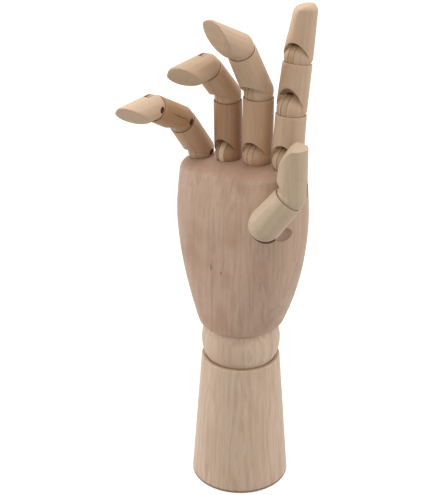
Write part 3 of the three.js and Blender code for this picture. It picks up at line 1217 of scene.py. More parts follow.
@dataclass(frozen=True)
class TipSize(LinkSize):
    """Sizes of a fingertip, which is sliced on the palm side into a pad."""

    pad: Pad = Pad()

    def surface(self, height: Array, angle: Array) -> Array:
        """Points of the fingertip: the shaft's circle at each height, cut by the pad's chord.

        The chord lies at start R - d tan(angle) (1 + bow e^(-d / run)) behind the axis, for a
        distance d below the tip. A section is drawn about a point halfway between the chord and the
        back. From there the distance to the circle and the distance to the chord are joined by a
        smooth minimum, and both shrink to nothing over the crown.

        Args:
            height: Heights above the joint.
            angle: Ring angles, from the palm side.

        Returns:
            Points with the shape of the two arrays.
        """
        pad = self.pad
        twist = math.radians(pad.twist)
        radius = self.radius_at(height)
        below = self.length - height
        steep = math.tan(math.radians(pad.angle)) * (1.0 + pad.bow * np.exp(-below / PAD_RUN))
        chord = pad.start * self.upper - below * steep
        heart = 0.5 * np.clip(chord + radius, 0.0, None)
        across, along = np.sin(angle - twist), np.cos(angle - twist)
        to_circle = heart * along + np.sqrt(np.clip(radius**2 - (heart * across) ** 2, 0.0, None))
        to_chord = np.where(along > 0.01, (heart - chord) / np.maximum(along, 0.01), FAR)
        soft = pad.edge + (pad.fade - pad.edge) * np.clip(below / (4.0 * PAD_RUN), 0.0, 1.0)
        near = np.clip(soft - np.abs(to_circle - to_chord), 0.0, None)
        reach = np.clip(np.minimum(to_circle, to_chord) - near**2 / (4.0 * soft), 0.0, None)
        last = np.clip(1.0 - below / pad.crown, 0.0, 1.0)
        reach = reach * np.sqrt(1.0 - last**2)
        x = reach * np.sin(angle) - heart * math.sin(twist)
        y = heart * math.cos(twist) - reach * np.cos(angle)
        return np.stack([x, y, height + 0.0 * angle], axis=-1)

    def grid(self, hinge: Hinge) -> Array:
        """Grid of a whole fingertip: ball, notch, and rings that close up towards the tip.

        Args:
            hinge: Shared joint sizes.

        Returns:
            Points by ring and column.
        """
        foot = self.foot(hinge.ball_radius(self.lower))
        climb = 1.0 - (1.0 - np.linspace(0.0, 1.0, TIP_ROWS)) ** 2
        return np.concatenate([foot, self.shaft(foot, self.length, climb)])


# Masks of painted shade


def notch_mask(hinge: Hinge, size: LinkSize) -> Mask:
    """Marks the roof of the notch between a link's ball and its arch, for painted shade.

    Args:
        hinge: Shared joint sizes.
        size: Sizes of the link.

    Returns:
        The mask.
    """
    ball = hinge.ball_radius(size.lower)

    def mask(points: Array) -> Array:
        """Marks points outside the round end, under the arch and well inside the shaft.

        Args:
            points: Points of the link's own frame.

        Returns:
            A share for each point.
        """
        height, reach = points[:, 2], np.hypot(points[:, 0], points[:, 1])
        angle = np.arctan2(points[:, 0], -points[:, 1])
        end = size.dome(np.arctan2(height, reach), angle, ball)
        apart = np.linalg.norm(points, axis=-1) > end + BALL_MARGIN
        within = reach < size.lower - SHAFT_MARGIN
        return 1.0 * (apart & within & (height < size.arch(angle)) & (height > PIN_MARGIN))

    return mask


def cup_mask(centre: Triple, radius: float) -> Mask:
    """Returns the mask of painted shade in a round cup, in the piece's own frame."""
    reach = radius + CUP_MARGIN
    return lambda points: 1.0 * (np.linalg.norm(points - np.asarray(centre), axis=-1) < reach)


def slot_mask(hinge: Hinge, radius: float) -> Mask:
    """Marks the points on the walls and the floor of a saw slot, for painted shade.

    Args:
        hinge: Shared joint sizes.
        radius: Radius of the link at the joint.

    Returns:
        The mask.
    """
    half = hinge.slot_half() + WALL_MARGIN
    reach = radius + hinge.slot_reach + CUP_MARGIN
    return lambda points: 1.0 * (
        (np.hypot(points[:, 1], points[:, 2]) < reach) & (np.abs(points[:, 0]) < half)
    )


def bore_mask(hinge: Hinge, side: PinSide) -> Mask:
    """Returns the mask of painted shade in the open half of a pin's hole along X."""
    reach = hinge.pin_radius + hinge.pin_play + CUP_MARGIN
    return lambda points: 1.0 * (
        (np.hypot(points[:, 1], points[:, 2]) < reach) & (points[:, 0] * side.value > 0.0)
    )


def band_mask(low: float, high: float, reach: float, share: float) -> Mask:
    """Marks a turned band in part, for painted shade.

    Args:
        low: Lower height of the band.
        high: Upper height of the band.
        reach: Greatest radius of the band.
        share: Share of painted shade that it takes.

    Returns:
        The mask.
    """

    def mask(points: Array) -> Array:
        """Returns the share for points in the band, else 0."""
        level = (points[:, 2] > low) & (points[:, 2] < high)
        return share * (level & (np.hypot(points[:, 0], points[:, 1]) < reach))

    return mask


def any_of(*masks: Mask) -> Mask:
    """Returns a mask that gives the greatest share of the given masks."""
    return lambda points: np.max([mask(points) for mask in masks], axis=0)


# The sub-assemblies


@dataclass
class Workshop:
    """Woods and steel of the hand, each made once."""

    finger: WoodFinish = WoodFinish(
        "finger_wood", (203, 173, 143), (182, 149, 116), (212, 182, 151), (112, 78, 52)
    )
    # Paler copy of the finger wood for the little fingertip: painted light where it faces the light
    # from above
    light: WoodFinish = WoodFinish(
        "lit_tip_wood", (218, 189, 160), (200, 167, 134), (208, 177, 147), (120, 86, 58)
    )
    # Darker wood of inner links, with the streaked and dashed ones built on it: partly the wood's
    # own tone, partly painted shade between the fingers
    tan: WoodFinish = WoodFinish(
        "tan_wood", (196, 161, 128), (174, 137, 103), (202, 167, 133), (104, 70, 46)
    )
    streaked: WoodFinish = replace(
        tan,
        name="streaked_wood",
        ground=(184, 144, 104),
        streak=(160, 120, 82),
        flecks_and_shade=(DarkPatch((7.9, 0.4, 12.0), (1.6, 0.7, 11.0), 0.6),),
    )
    dashed: WoodFinish = replace(
        tan,
        name="dashed_wood",
        flecks_and_shade=(
            DarkPatch((1.1, -8.0, 8.5), (0.5, 2.0, 1.3), 0.6),
            DarkPatch((4.9, -6.5, 6.5), (1.4, 2.0, 0.7), 0.5),
        ),
    )
    # Darker still, for the ring's inner link: partly the wood's own tone, partly painted shade
    # between the fingers
    russet: WoodFinish = WoodFinish(
        "russet_wood", (176, 136, 104), (154, 114, 83), (160, 120, 89), (88, 58, 38)
    )
    pale: WoodFinish = WoodFinish(
        "pale_wood", (204, 180, 153), (188, 161, 132), (194, 168, 141), (120, 92, 68)
    )
    palm: WoodFinish = WoodFinish(
        "palm_wood",
        (200, 169, 146),
        (164, 129, 106),
        (170, 132, 107),
        (104, 68, 44),
        figure=0.1,
        drawn=0.45,
        clouds=0.6,
        roughness=0.6,
        flecks_and_shade=(
            DarkPatch((-3.9, -25.0, 153.4), (0.8, 2.0, 3.0), 0.75),
            DarkPatch((3.3, -25.0, 151.8), (0.7, 2.0, 1.6), 0.7),
            DarkPatch((5.0, -25.0, 157.6), (0.35, 2.0, 6.6), 0.3, 0.29),
            DarkPatch((-2.4, -25.0, 165.0), (3.6, 3.0, 5.0), 0.16),
            # The last, broad patch is painted shade that darkens the palm's left side
            DarkPatch((-40.0, -8.0, 185.0), (16.0, 24.0, 44.0), 0.2),
        ),
    )
    stand: WoodFinish = WoodFinish(
        "stand_wood",
        (220, 193, 169),
        (190, 157, 128),
        (204, 173, 147),
        (118, 84, 58),
        figure=0.2,
        drawn=0.7,
        clouds=0.4,
    )
    tongue: WoodFinish = WoodFinish(
        "tongue_wood", (196, 164, 130), (176, 141, 107), (184, 151, 117), (112, 78, 52)
    )
    cream: WoodFinish = WoodFinish(
        "cream_wood", (216, 192, 158), (198, 170, 134), (206, 180, 146), (132, 98, 68)
    )
    pin: WoodFinish = WoodFinish(
        "pin_wood", (84, 56, 36), (62, 40, 26), (66, 43, 28), (40, 26, 17), roughness=0.7
    )
    steel: SteelFinish = SteelFinish()
    made: dict[str, Material] = field(default_factory=dict)

    def take(self, finish: WoodFinish | SteelFinish) -> Material:
        """Gives the material of a finish, which is made on first use.

        Args:
            finish: Wood or steel.

        Returns:
            Its material.
        """
        if finish.name not in self.made:
            self.made[finish.name] = finish.material()
        return self.made[finish.name]

    def link_wood(self, name: str) -> Material:
        """Gives the wood of a finger's link.

        Args:
            name: Name of the link.

        Returns:
            Its material.
        """
        # Darker woods of inner links are partly painted shade between the fingers; the little
        # fingertip's paler wood is painted light
        special = {
            "ring_proximal": self.russet,
            "ring_middle": self.dashed,
            "middle_proximal": self.tan,
            "little_proximal": self.tan,
            "little_middle": self.streaked,
            "little_distal": self.light,
        }
        return self.take(special.get(name, self.finger))


@dataclass
class Stand:
    """Turned stand with a cup for the wrist ball and a plug in its foot."""

    height: float = 86.0
    foot_radius: float = 30.3
    rim_width: float = 2.4
    edge_round: float = 1.4
    lip_ease: float = 0.25
    foot_bevel: float = 0.8
    # Painted contact shadow round the foot: its height and its darkness
    foot_shadow: float = 1.95
    shadow_share: float = 0.9
    # Darkness of the painted shade on the rim's top
    rim_shade: float = 0.35
    bore_radius: float = 8.0
    counterbore_radius: float = 12.0
    counterbore_depth: float = 44.0
    plug_height: float = 8.0
    plug_ease: float = 0.5
    ball_rise: float = 11.0
    cup_radius: float = 24.4
    play: float = 0.3

    def body_profile(self) -> Array:
        """Closed profile of the stand: up the tapered side, over the rim, down the cup and bores.

        Returns:
            Rows of (radius, height).
        """
        centre = self.height + self.ball_rise
        rim = -math.asin(self.ball_rise / self.cup_radius)
        bore = -math.acos(self.bore_radius / self.cup_radius)
        cup = arc(self.cup_radius, centre, rim, bore, 28)
        edge = cup[0, 0] + self.rim_width - self.edge_round
        lip = arc(self.edge_round, self.height - self.edge_round, 0.0, np.pi / 2.0, 9)
        lip[:, 0] += edge
        foot = arc(self.foot_bevel, self.foot_bevel, -np.pi / 2.0, 0.0, 6)
        foot[:, 0] += self.foot_radius - self.foot_bevel
        side = np.linspace(foot[-1], lip[0], 80)[1:-1]
        inner_lip = np.array([(cup[0, 0] + self.lip_ease, self.height)])
        inside = np.array(
            [
                (self.bore_radius, self.counterbore_depth),
                (self.counterbore_radius, self.counterbore_depth),
                (self.counterbore_radius, 0.0),
            ]
        )
        cup[0, 1] -= self.lip_ease
        return np.concatenate([inside[-1:], foot, side, lip, inner_lip, cup, inside])

    def build(self, workshop: Workshop) -> None:
        """Makes the stand and its plug.

        Args:
            workshop: Finishes.
        """
        wood = workshop.take(workshop.stand)
        body = solid("stand_body", turned(self.body_profile(), STAND_COLUMNS))
        # Painted shade in the ball's cup and on the rim's top, and a painted contact shadow round
        # the foot
        shaded = any_of(
            cup_mask((0.0, 0.0, self.height + self.ball_rise), self.cup_radius),
            band_mask(-1.0, self.foot_shadow, math.inf, self.shadow_share),
            band_mask(self.height - 0.3, self.height + 0.1, self.foot_radius, self.rim_shade),
        )
        dress(body, wood, Grain(UPRIGHT, pith=(46.0, 30.0), start=40.0), shaded)
        hand_over(body, "base", Slot.STAND, "base")
        radius = self.counterbore_radius - self.play
        profile = bar_profile(radius, 0.0, self.plug_height, self.plug_ease)
        plug = solid("stand_plug", turned(profile, STAND_COLUMNS))
        dress(plug, wood, Grain(UPRIGHT, pith=(18.0, -22.0), start=300.0))
        hand_over(plug, "base", Slot.STAND, "base_plug")


@dataclass
class Wrist:
    """Bored wrist ball, and the spring that draws palm, ball and stand together."""

    ball_radius: float = 24.1
    centre: float = 97.0
    bore_radius: float = 8.0
    bore_waist: float = 4.0
    mouth_radius: float = 13.5
    # Band of the ball under the palm's rim, darkened as grime and as painted contact shadow: its
    # ends above the centre, and its darkness
    shadow_band_from: float = 10.4
    shadow_band_to: float = 24.0
    grime_and_shadow: float = 0.35
    wire_radius: float = 0.8
    coil_radius: float = 4.2
    turns: int = 17
    lead: float = 7.0
    bar_height: float = 42.2
    bar_radius: float = 1.5
    eye_height: float = 127.9
    eye_ring: float = 4.2
    eye_wire: float = 1.5
    play: float = 0.3

    def ball_profile(self) -> Array:
        """Closed profile of the ball: an arc, and a bore that flares from its waist to both mouths.

        Returns:
            Rows of (radius, height).
        """
        mouth = math.acos(self.mouth_radius / self.ball_radius)
        outside = arc(self.ball_radius, self.centre, -mouth, mouth, 72)
        high = np.array([self.bore_radius, self.centre + self.bore_waist])
        low = np.array([self.bore_radius, self.centre - self.bore_waist])
        runs = ((outside[-1], high), (high, low), (low, outside[0]))
        return np.concatenate([outside, *(np.linspace(*ends, 6)[1:] for ends in runs)])

    def spring_path(self) -> tuple[Array, Array]:
        """Centre line of the spring and a normal at each of its points.

        A hook turns round the bar, a lead widens while it swings half a turn into the coil, and
        the upper end mirrors it round the eye. Normals point away from the bar or the eye's ring
        on the hooks, and away from the spring's axis elsewhere.

        Returns:
            Points and unit normals.
        """
        low = self.bar_radius + self.play + self.wire_radius
        high = self.eye_wire + self.play + self.wire_radius
        eye_low = self.eye_height - self.eye_ring
        coil_from, coil_to = self.bar_height + self.lead, eye_low - self.lead
        quarter = np.pi / 2.0

        def hook(radius: float, height: float, angle: Array) -> tuple[Array, Array]:
            """Returns points and normals of a hook in the plane x = 0."""
            out = np.stack([np.zeros_like(angle), np.cos(angle), np.sin(angle)], axis=-1)
            return out * radius + (0.0, 0.0, height), out

        def swirl(radius: Array, angle: Array, height: Array) -> tuple[Array, Array]:
            """Points and normals of a run about the axis.

            Args:
                radius: Distances from the axis.
                angle: Angles about the axis.
                height: Heights.

            Returns:
                Points and unit normals.
            """
            out = np.stack([np.cos(angle), np.sin(angle), np.zeros_like(angle)], axis=-1)
            points = out * np.asarray(radius)[..., None]
            points[:, 2] = height
            return points, out

        share = np.linspace(0.0, 1.0, 25)[:-1]
        ease = 1.0 - (1.0 - share) ** 2
        coil = np.linspace(0.0, 1.0, 24 * self.turns + 1)
        parts = [
            hook(low, self.bar_height, np.radians(np.linspace(150.0, 360.0, 22)[:-1])),
            swirl(
                low + (self.coil_radius - low) * share,
                quarter + np.pi * share**2,
                self.bar_height + (coil_from - self.bar_height) * ease,
            ),
            swirl(
                np.full_like(coil, self.coil_radius),
                -quarter + 2.0 * np.pi * self.turns * coil,
                coil_from + (coil_to - coil_from) * coil,
            ),
            swirl(
                (high + (self.coil_radius - high) * share)[::-1],
                (quarter - np.pi * share**2)[::-1],
                (eye_low + (coil_to - eye_low) * ease)[::-1],
            ),
            hook(high, eye_low, np.radians(np.linspace(0.0, 210.0, 22)[1:])),
        ]
        return np.concatenate([p for p, _ in parts]), np.concatenate([n for _, n in parts])

    def spring_grid(self) -> Array:
        """Grid of the spring: a small circle carried along its centre line.

        Returns:
            Points by ring and column, closed by a middle point at each end.
        """
        path, out = self.spring_path()
        along = np.gradient(path, axis=0)
        along /= np.linalg.norm(along, axis=-1, keepdims=True)
        side = out - np.sum(out * along, axis=-1, keepdims=True) * along
        side /= np.linalg.norm(side, axis=-1, keepdims=True)
        up = np.cross(along, side)
        angle = ring_angles(WIRE_SIDES)[None, :, None]
        circle = np.cos(angle) * side[:, None] + np.sin(angle) * up[:, None]
        rings = path[:, None] + self.wire_radius * circle
        ends = np.broadcast_to(path[[0, -1], None], (2, WIRE_SIDES, 3))
        return np.concatenate([ends[:1], rings, ends[1:]])

    def build(self, workshop: Workshop) -> None:
        """Makes the ball and the spring, and dresses the bar and the eye.

        Args:
            workshop: Finishes.
        """
        ball = solid("wrist_ball_wood", turned(self.ball_profile(), STAND_COLUMNS))
        # Grime and painted contact shadow in a band just under the palm's rim
        heights = (self.centre + self.shadow_band_from, self.centre + self.shadow_band_to)
        grime_and_shadow_band = band_mask(*heights, self.ball_radius, self.grime_and_shadow)
        grain = Grain(UPRIGHT, pith=(34.0, -41.0), start=180.0)
        dress(ball, workshop.take(workshop.stand), grain, grime_and_shadow_band)
        hand_over(ball, "wrist_ball", Slot.STAND, "wrist_ball")

        steel = workshop.take(workshop.steel)
        spring = solid("wrist_spring_wire", self.spring_grid())
        spring.data.shade_smooth()
        spring.data.materials.append(steel)
        hand_over(spring, "wrist_swivel", Slot.STEEL, "wrist_spring")
        for node in ("spring_bar", "screw_eye"):
            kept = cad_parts[node]
            kept.data.materials.clear()
            kept.data.materials.append(steel)
            log.info("%s kept, in drawn steel", node)


@dataclass
class KnuckleLine:
    """Where the four knuckle pins lie across the hand."""

    spacing: float = 20.6
    middle: float = -0.25
    depth: float = 1.0
    base: float = 217.7
    tilt: float = 7.2
    crown: float = 0.75

    def height(self, x: Array) -> Array:
        """Returns the pins' height across the hand: a tilted line less a shallow crown."""
        bow = self.crown * (x / (1.5 * self.spacing)) ** 2
        return self.base + x * math.tan(math.radians(self.tilt)) - bow

    def place(self, step: float) -> Array:
        """Returns the frame of the knuckle that stands so many steps from the middle."""
        x = self.middle + step * self.spacing
        return shift(x, self.depth, float(self.height(np.array(x))))


SHOULDERS = (Shoulder(-2.6, 10.8, 5.0), Shoulder(-2.0, 12.9, 6.0), Shoulder(-2.2, 8.9, 6.0))


@dataclass
class FingerSize:
    """Sizes and pose of one finger, from its knuckle to its tip."""

    name: str
    step: float
    radii: tuple[float, float, float, float]
    lengths: Triple
    bends: Triple
    side: PinSide
    pad: Pad


FINGERS = (
    FingerSize(
        "little",
        -1.5,
        (8.3, 8.1, 7.7, 6.8),
        (30.5, 29.0, 27.4),
        (37.5, 22.5, 30.0),
        PinSide.THUMB,
        Pad(40.0, start=0.85, twist=28.0, bow=0.5, crown=1.5, trim=2.6),
    ),
    FingerSize(
        "ring",
        -0.5,
        (8.4, 8.2, 7.9, 7.0),
        (35.3, 29.4, 29.5),
        (2.0, 40.0, 49.0),
        PinSide.LITTLE,
        Pad(42.0, start=0.8, twist=34.0, bow=0.6, crown=1.6, trim=2.2),
    ),
    FingerSize(
        "middle",
        0.5,
        (8.8, 8.8, 8.2, 7.0),
        (38.5, 35.2, 33.2),
        (0.0, 31.0, 31.0),
        PinSide.LITTLE,
        Pad(33.0, start=0.8, twist=-2.0, bow=0.3, crown=1.6),
    ),
    FingerSize(
        "index",
        1.5,
        (9.0, 8.8, 8.3, 7.8),
        (30.4, 28.7, 31.3),
        (-5.0, -5.5, 1.5),
        PinSide.LITTLE,
        Pad(25.5, start=0.3, twist=-50.0, bow=5.4, edge=2.0, crown=4.0, trim=1.0),
    ),
)


@dataclass
class ThumbSize:
    """Sizes and pose of the thumb, which swings on a peg square to the palm's rounded corner."""

    turn: float = 28.0
    across: float = 33.3
    depth: float = -23.62
    height: float = 190.9
    base_radius: float = 9.95
    joint_radius: float = 8.85
    tip_radius: float = 7.8
    proximal_length: float = 23.2
    distal_length: float = 31.4
    lean: float = 37.8
    bend: float = 36.3
    spread: float = 35.0
    fold: float = 1.0
    pocket_play: float = 0.4
    peg_radius: float = 3.0
    peg_foot: float = -18.5
    peg_reach: float = 4.0
    peg_play: float = 0.3
    peg_ease: float = 0.4
    bore_from: float = -20.0

    def root(self) -> Array:
        """Returns the frame of the peg: X along it, out of the palm."""
        return shift(self.across, self.depth, self.height) @ turn_z(self.turn - 90.0)

    def peg_bore(self, start: float, end: float) -> Array:
        """Returns the cutter of a hole for the peg, a bar along X."""
        return stick(self.peg_radius + self.peg_play, start, end, 0.0, PIN_COLUMNS)


@dataclass
class Palm:
    """Palm block: a round wrist end that flares to a broad knuckle end with cups and a pocket."""

    knuckles: KnuckleLine
    thumb: ThumbSize
    bottom: float = 110.0
    bottom_radius: float = 25.5
    bottom_ease: float = 0.9
    half_width: float = 41.6
    half_thickness: float = 25.0
    squareness: float = 2.7
    flare_power: float = 2.2
    flare_height: float = 80.0
    shoulder: float = 206.8
    top_round: float = 7.0
    front_round: float = 12.0
    front_taper: float = 5.0
    side_round: float = 2.0
    side_taper: float = 0.8
    taper_from: float = 62.0
    taper_run: float = 34.8
    corner: float = 4.0
    corner_from: float = 0.3
    corner_run: float = 0.45
    wrist_centre: float = 97.0
    wrist_cup: float = 24.4
    heel: Triple = (32.6, -23.2, 187.3)
    heel_radius: float = 11.1
    dish: Triple = (39.2, -14.4, 182.2)
    dish_radii: Triple = (7.6, 4.4, 4.4)
    dish_turn: float = 60.3
    dish_shade: float = 0.15
    eye_pocket: tuple[tuple[float, float], ...] = (
        (0.0, 97.0),
        (6.5, 97.0),
        (6.5, 134.4),
        (1.8, 134.4),
        (1.8, 148.4),
        (0.0, 148.4),
    )

    def rings(self, height: Array, inward: Array, lift: Array) -> Array:
        """Rings round the palm's rounded-square sections.

        A section is x = a sgn(s) |s|^(2/p), y = -b sgn(c) |c|^(2/p) for the sine s and cosine c of
        the ring angle. Half width a, half thickness b and power p follow the flare, which is
        1 - (1 - rise)^flare_power, and each ring is lifted by a share of the knuckle line.

        Args:
            height: Height of each ring.
            inward: Share of the top's rounding that each ring has taken.
            lift: Share of the knuckle line that each ring follows.

        Returns:
            Points by ring and column.
        """
        rise = np.clip((height - self.bottom) / self.flare_height, 0.0, 1.0)
        flare = (1.0 - (1.0 - rise) ** self.flare_power)[:, None]
        wide = self.bottom_radius + (self.half_width - self.bottom_radius) * flare
        thick = self.bottom_radius + (self.half_thickness - self.bottom_radius) * flare
        climbed = np.clip((height - self.bottom - self.taper_from) / self.taper_run, 0.0, 1.0)
        draw_in = climbed**2
        wide = wide - (self.side_taper * draw_in + self.side_round * inward)[:, None]
        thick = thick - (self.front_taper * draw_in + self.front_round * inward)[:, None]
        power = 2.0 / (2.0 + (self.squareness - 2.0) * flare)
        angle = ring_angles(PALM_COLUMNS)
        s, c = np.sin(angle), np.cos(angle)
        x = wide * np.sign(s) * np.abs(s) ** power
        y = -thick * np.sign(c) * np.abs(c) ** power
        return np.stack([x, y, height[:, None] + lift[:, None] * self.line(x)], axis=-1)

    def line(self, x: Array) -> Array:
        """Returns the knuckle line's height above its middle."""
        return self.knuckles.height(x) - self.knuckles.height(np.zeros(1))

    def blank(self) -> Array:
        """Grid of the uncut block: eased foot, flared side, rounded top, and a cap that closes it.

        The top's rounding starts at the body's own slope and ends level. Its height falls from
        top_round in front to top_round - corner at the sides.

        Returns:
            Points by ring and column.
        """
        climb = np.linspace(0.0, 1.0, 64)
        height = self.bottom + climb * (self.shoulder - self.bottom)
        body = self.rings(height, 0.0 * climb, climb**3)
        slope = 2.0 * self.front_taper / self.taper_run
        start = math.atan(slope * self.top_round / self.front_round)
        bend = np.linspace(start, np.pi / 2.0, 20)[1:]
        inward = 1.0 - np.cos(bend) / math.cos(start)
        upward = (np.sin(bend) - math.sin(start)) / (1.0 - math.sin(start))
        top = self.rings(np.full_like(bend, self.shoulder), inward, np.ones_like(bend))
        aside = np.abs(np.sin(ring_angles(PALM_COLUMNS)))
        side = smooth((aside - self.corner_from) / self.corner_run)
        lower = (self.top_round - self.corner) * side
        body[..., 2] += lower * (climb**6)[:, None]
        top[..., 2] += lower + (self.top_round - lower) * upward[:, None]
        cap = top[-1] * np.linspace(1.0, 0.0, 12)[1:, None, None]
        cap[..., 2] = self.shoulder + self.top_round + self.line(cap[..., 0])
        ease = self.bottom_ease
        tuck = np.linspace(0.0, np.pi / 2.0, 6)[:-1]
        inset = 1.0 - ease * (1.0 - np.sin(tuck)) / self.bottom_radius
        curl = body[0] * inset[:, None, None]
        curl[..., 2] = self.bottom + (ease * (1.0 - np.cos(tuck)))[:, None]
        raised = body[body[:, 0, 2] > self.bottom + ease]
        sole = np.broadcast_to([0.0, 0.0, self.bottom], (1, PALM_COLUMNS, 3))
        return np.concatenate([sole, curl, raised, top, cap])

    def pocket(self) -> Array:
        """Grid of the thumb's pocket: what a rounded bar sweeps as it swings about the peg.

        At a distance x along the peg the bar is w = sqrt(r squared - x squared) either side of its
        axis, so the outline there is the swung sector grown by w: an arc behind the peg, a straight
        edge along each limit, and an arc at the reach.

        Returns:
            Points by ring and column in the thumb's own frame.
        """
        size = self.thumb
        radius = size.base_radius + size.pocket_play
        reach = 3.0 * size.base_radius
        first = math.radians(size.lean - size.fold)
        last = math.radians(size.lean + size.spread)
        tilt = np.linspace(-np.pi / 2.0, np.pi / 2.0, 33)
        w = (radius * np.cos(tilt))[:, None, None]
        run = np.linspace(0.0, reach, 12)[:, None]
        swing = np.linspace(last, first, 12)[1:-1]

        def heading(angle: float | Array) -> Array:
            """Returns the direction (y, z) of a bar that leans by an angle."""
            return np.stack([np.sin(angle), np.cos(angle)], axis=-1)

        def beside(angle: float) -> Array:
            """Returns the direction square to a leaning bar, on its far side."""
            return np.array([math.cos(angle), -math.sin(angle)])

        far = run * heading(last) + w * beside(last)
        near = run[::-1] * heading(first) - w * beside(first)
        end = np.broadcast_to(reach * heading(swing), (len(tilt), len(swing), 2))
        back = np.linspace(first - np.pi / 2.0, last - 1.5 * np.pi, 24)[1:-1]
        behind = w * heading(back)
        flat = np.concatenate([far, end, near, behind], axis=1)
        x = np.broadcast_to((radius * np.sin(tilt))[:, None, None], flat.shape[:2] + (1,))
        rings = np.concatenate([x, flat], axis=-1)
        heart = 0.5 * reach * heading(0.5 * (first + last))
        poles = np.array([(-radius, *heart), (radius, *heart)])
        caps = np.broadcast_to(poles[:, None], (2, rings.shape[1], 3))
        return np.concatenate([caps[:1], rings, caps[1:]])

    def cut_wrist(self, block: Piece) -> list[Mask]:
        """Cuts the wrist's cup and the screw eye's pocket.

        Args:
            block: Palm block.

        Returns:
            Mask of the painted shade in the cup.
        """
        centre = (0.0, 0.0, self.wrist_centre)
        carve(block, moved(ball_grid(self.wrist_cup, WRIST_COLUMNS), shift(*centre)))
        carve(block, turned(np.array(self.eye_pocket), EYE_COLUMNS))
        return [cup_mask(centre, self.wrist_cup)]

    def cut_knuckles(self, block: Piece) -> list[Mask]:
        """Cuts the cup and the mortise of each knuckle.

        Args:
            block: Palm block.

        Returns:
            Masks of the painted shade in the cups.
        """
        masks = []
        for size in FINGERS:
            place = self.knuckles.place(size.step)
            cup = HINGE.cup_radius(size.radii[0])
            carve(block, moved(ball_grid(cup, KNUCKLE_COLUMNS), place))
            carve(block, moved(HINGE.mortise(), place))
            masks.append(cup_mask(tuple(place[:3, 3]), cup))
        return masks

    def cut_thumb_seat(self, block: Piece) -> list[Mask]:
        """Cuts the thumb's pocket with its round heel, the dish beside it and the peg's hole.

        Args:
            block: Palm block.

        Returns:
            Masks of the painted shade in the heel and the dish.
        """
        size, root = self.thumb, self.thumb.root()
        carve(block, moved(self.pocket(), root))
        heel = ball_grid(self.heel_radius, HEEL_COLUMNS)
        carve(block, moved(heel, shift(*self.heel)))
        dish = shift(*self.dish) @ turn_z(self.dish_turn)
        carve(block, moved(ball_grid(1.0, DISH_COLUMNS) * self.dish_radii, dish))
        carve(block, moved(size.peg_bore(size.peg_foot - size.peg_play, 0.0), root))

        def dish_mask(points: Array) -> Array:
            """Returns a faint share of painted shade for points in the dish, else 0."""
            far = np.linalg.norm(brought_home(points, dish) / self.dish_radii, axis=-1)
            return self.dish_shade * (far < 1.01)

        return [cup_mask(self.heel, self.heel_radius), dish_mask]

    def build(self, workshop: Workshop) -> None:
        """Makes the palm block and the thumb's peg.

        Args:
            workshop: Finishes.
        """
        block = solid("palm_block", self.blank())
        # Painted shade in the wrist cup, the knuckle cups, the heel and, faintly, the dish
        masks = self.cut_wrist(block) + self.cut_knuckles(block) + self.cut_thumb_seat(block)
        grain = Grain(UPRIGHT, pith=(70.0, 24.0), start=90.0)
        dress(block, workshop.take(workshop.palm), grain, any_of(*masks))
        hand_over(block, "palm", Slot.PALM, "palm")

        size, root = self.thumb, self.thumb.root()
        bar = stick(size.peg_radius, size.peg_foot, size.peg_reach, size.peg_ease, PIN_COLUMNS)
        peg = solid("thumb_peg", moved(bar, root))
        dress(peg, workshop.take(workshop.pin), Grain(root, pith=(9.0, 12.0), start=500.0))
        hand_over(peg, "palm", Slot.PIN, "thumb_base_peg")


@dataclass
class Finger:
    """One finger: three links on tongues and cross pins."""

    size: FingerSize
    knuckles: KnuckleLine
    parts: tuple[str, str, str] = ("proximal", "middle", "distal")
    joints: tuple[str, str, str] = ("knuckle", "middle", "tip")

    def build(self, workshop: Workshop) -> None:
        """Makes the links from the knuckle outwards, each with its tongue and its pin.

        Args:
            workshop: Finishes.
        """
        size = self.size
        place = self.knuckles.place(size.step)
        body = "palm"
        for k, (part, joint_name) in enumerate(zip(self.parts, self.joints)):
            radius = size.radii[k]
            joint = Joint(f"{size.name}_{joint_name}", HINGE, radius, size.side)
            wood = workshop.cream if joint.name == "ring_knuckle" else workshop.tongue
            joint.add_tongue(workshop.take(wood), place, TONGUE_RUN * radius, body)
            place = place @ turn_x(size.bends[k])
            body = f"{size.name}_{part}"
            self.add_link(workshop, k, place, body)
            joint.add_pin(workshop.take(workshop.pin), place, PIN_RUN * radius, body)
            place = place @ shift(0.0, 0.0, size.lengths[k])

    def add_link(self, workshop: Workshop, k: int, place: Array, name: str) -> None:
        """Makes one link in its own frame, cuts it there and moves it to its place.

        Args:
            workshop: Finishes.
            k: Number of the link, from the knuckle.
            place: Frame of the link.
            name: Name of its body and of its node.
        """
        size = self.size
        lower, upper, length = size.radii[k], size.radii[k + 1], size.lengths[k]
        tip = k == len(self.parts) - 1
        if tip:
            made = TipSize(lower, upper, length - size.pad.trim, SHOULDERS[k], size.pad)
        else:
            made = LinkSize(lower, upper, length, SHOULDERS[k])
        link = solid(f"{name}_wood", made.grid(HINGE))
        # Painted shade in the slot, under the notch's arch, in the pin hole and in the cup at the
        # top
        masks = [slot_mask(HINGE, lower), notch_mask(HINGE, made), bore_mask(HINGE, size.side)]
        carve(link, HINGE.slot(lower))
        carve(link, HINGE.bore(lower, size.side))
        if not tip:
            carve(link, moved(HINGE.mortise(), shift(0.0, 0.0, length)))
            masks.append(cup_mask((0.0, 0.0, length), HINGE.cup_radius(upper)))
        settle(link, place)
        seed = 10.0 * size.step + 3.0 * k
        pith = (LINK_PITH * math.cos(seed), LINK_PITH * math.sin(seed))
        dress(link, workshop.link_wood(name), Grain(place, pith, LINK_RUN * seed), any_of(*masks))
        hand_over(link, name, Slot.FINGER, name)


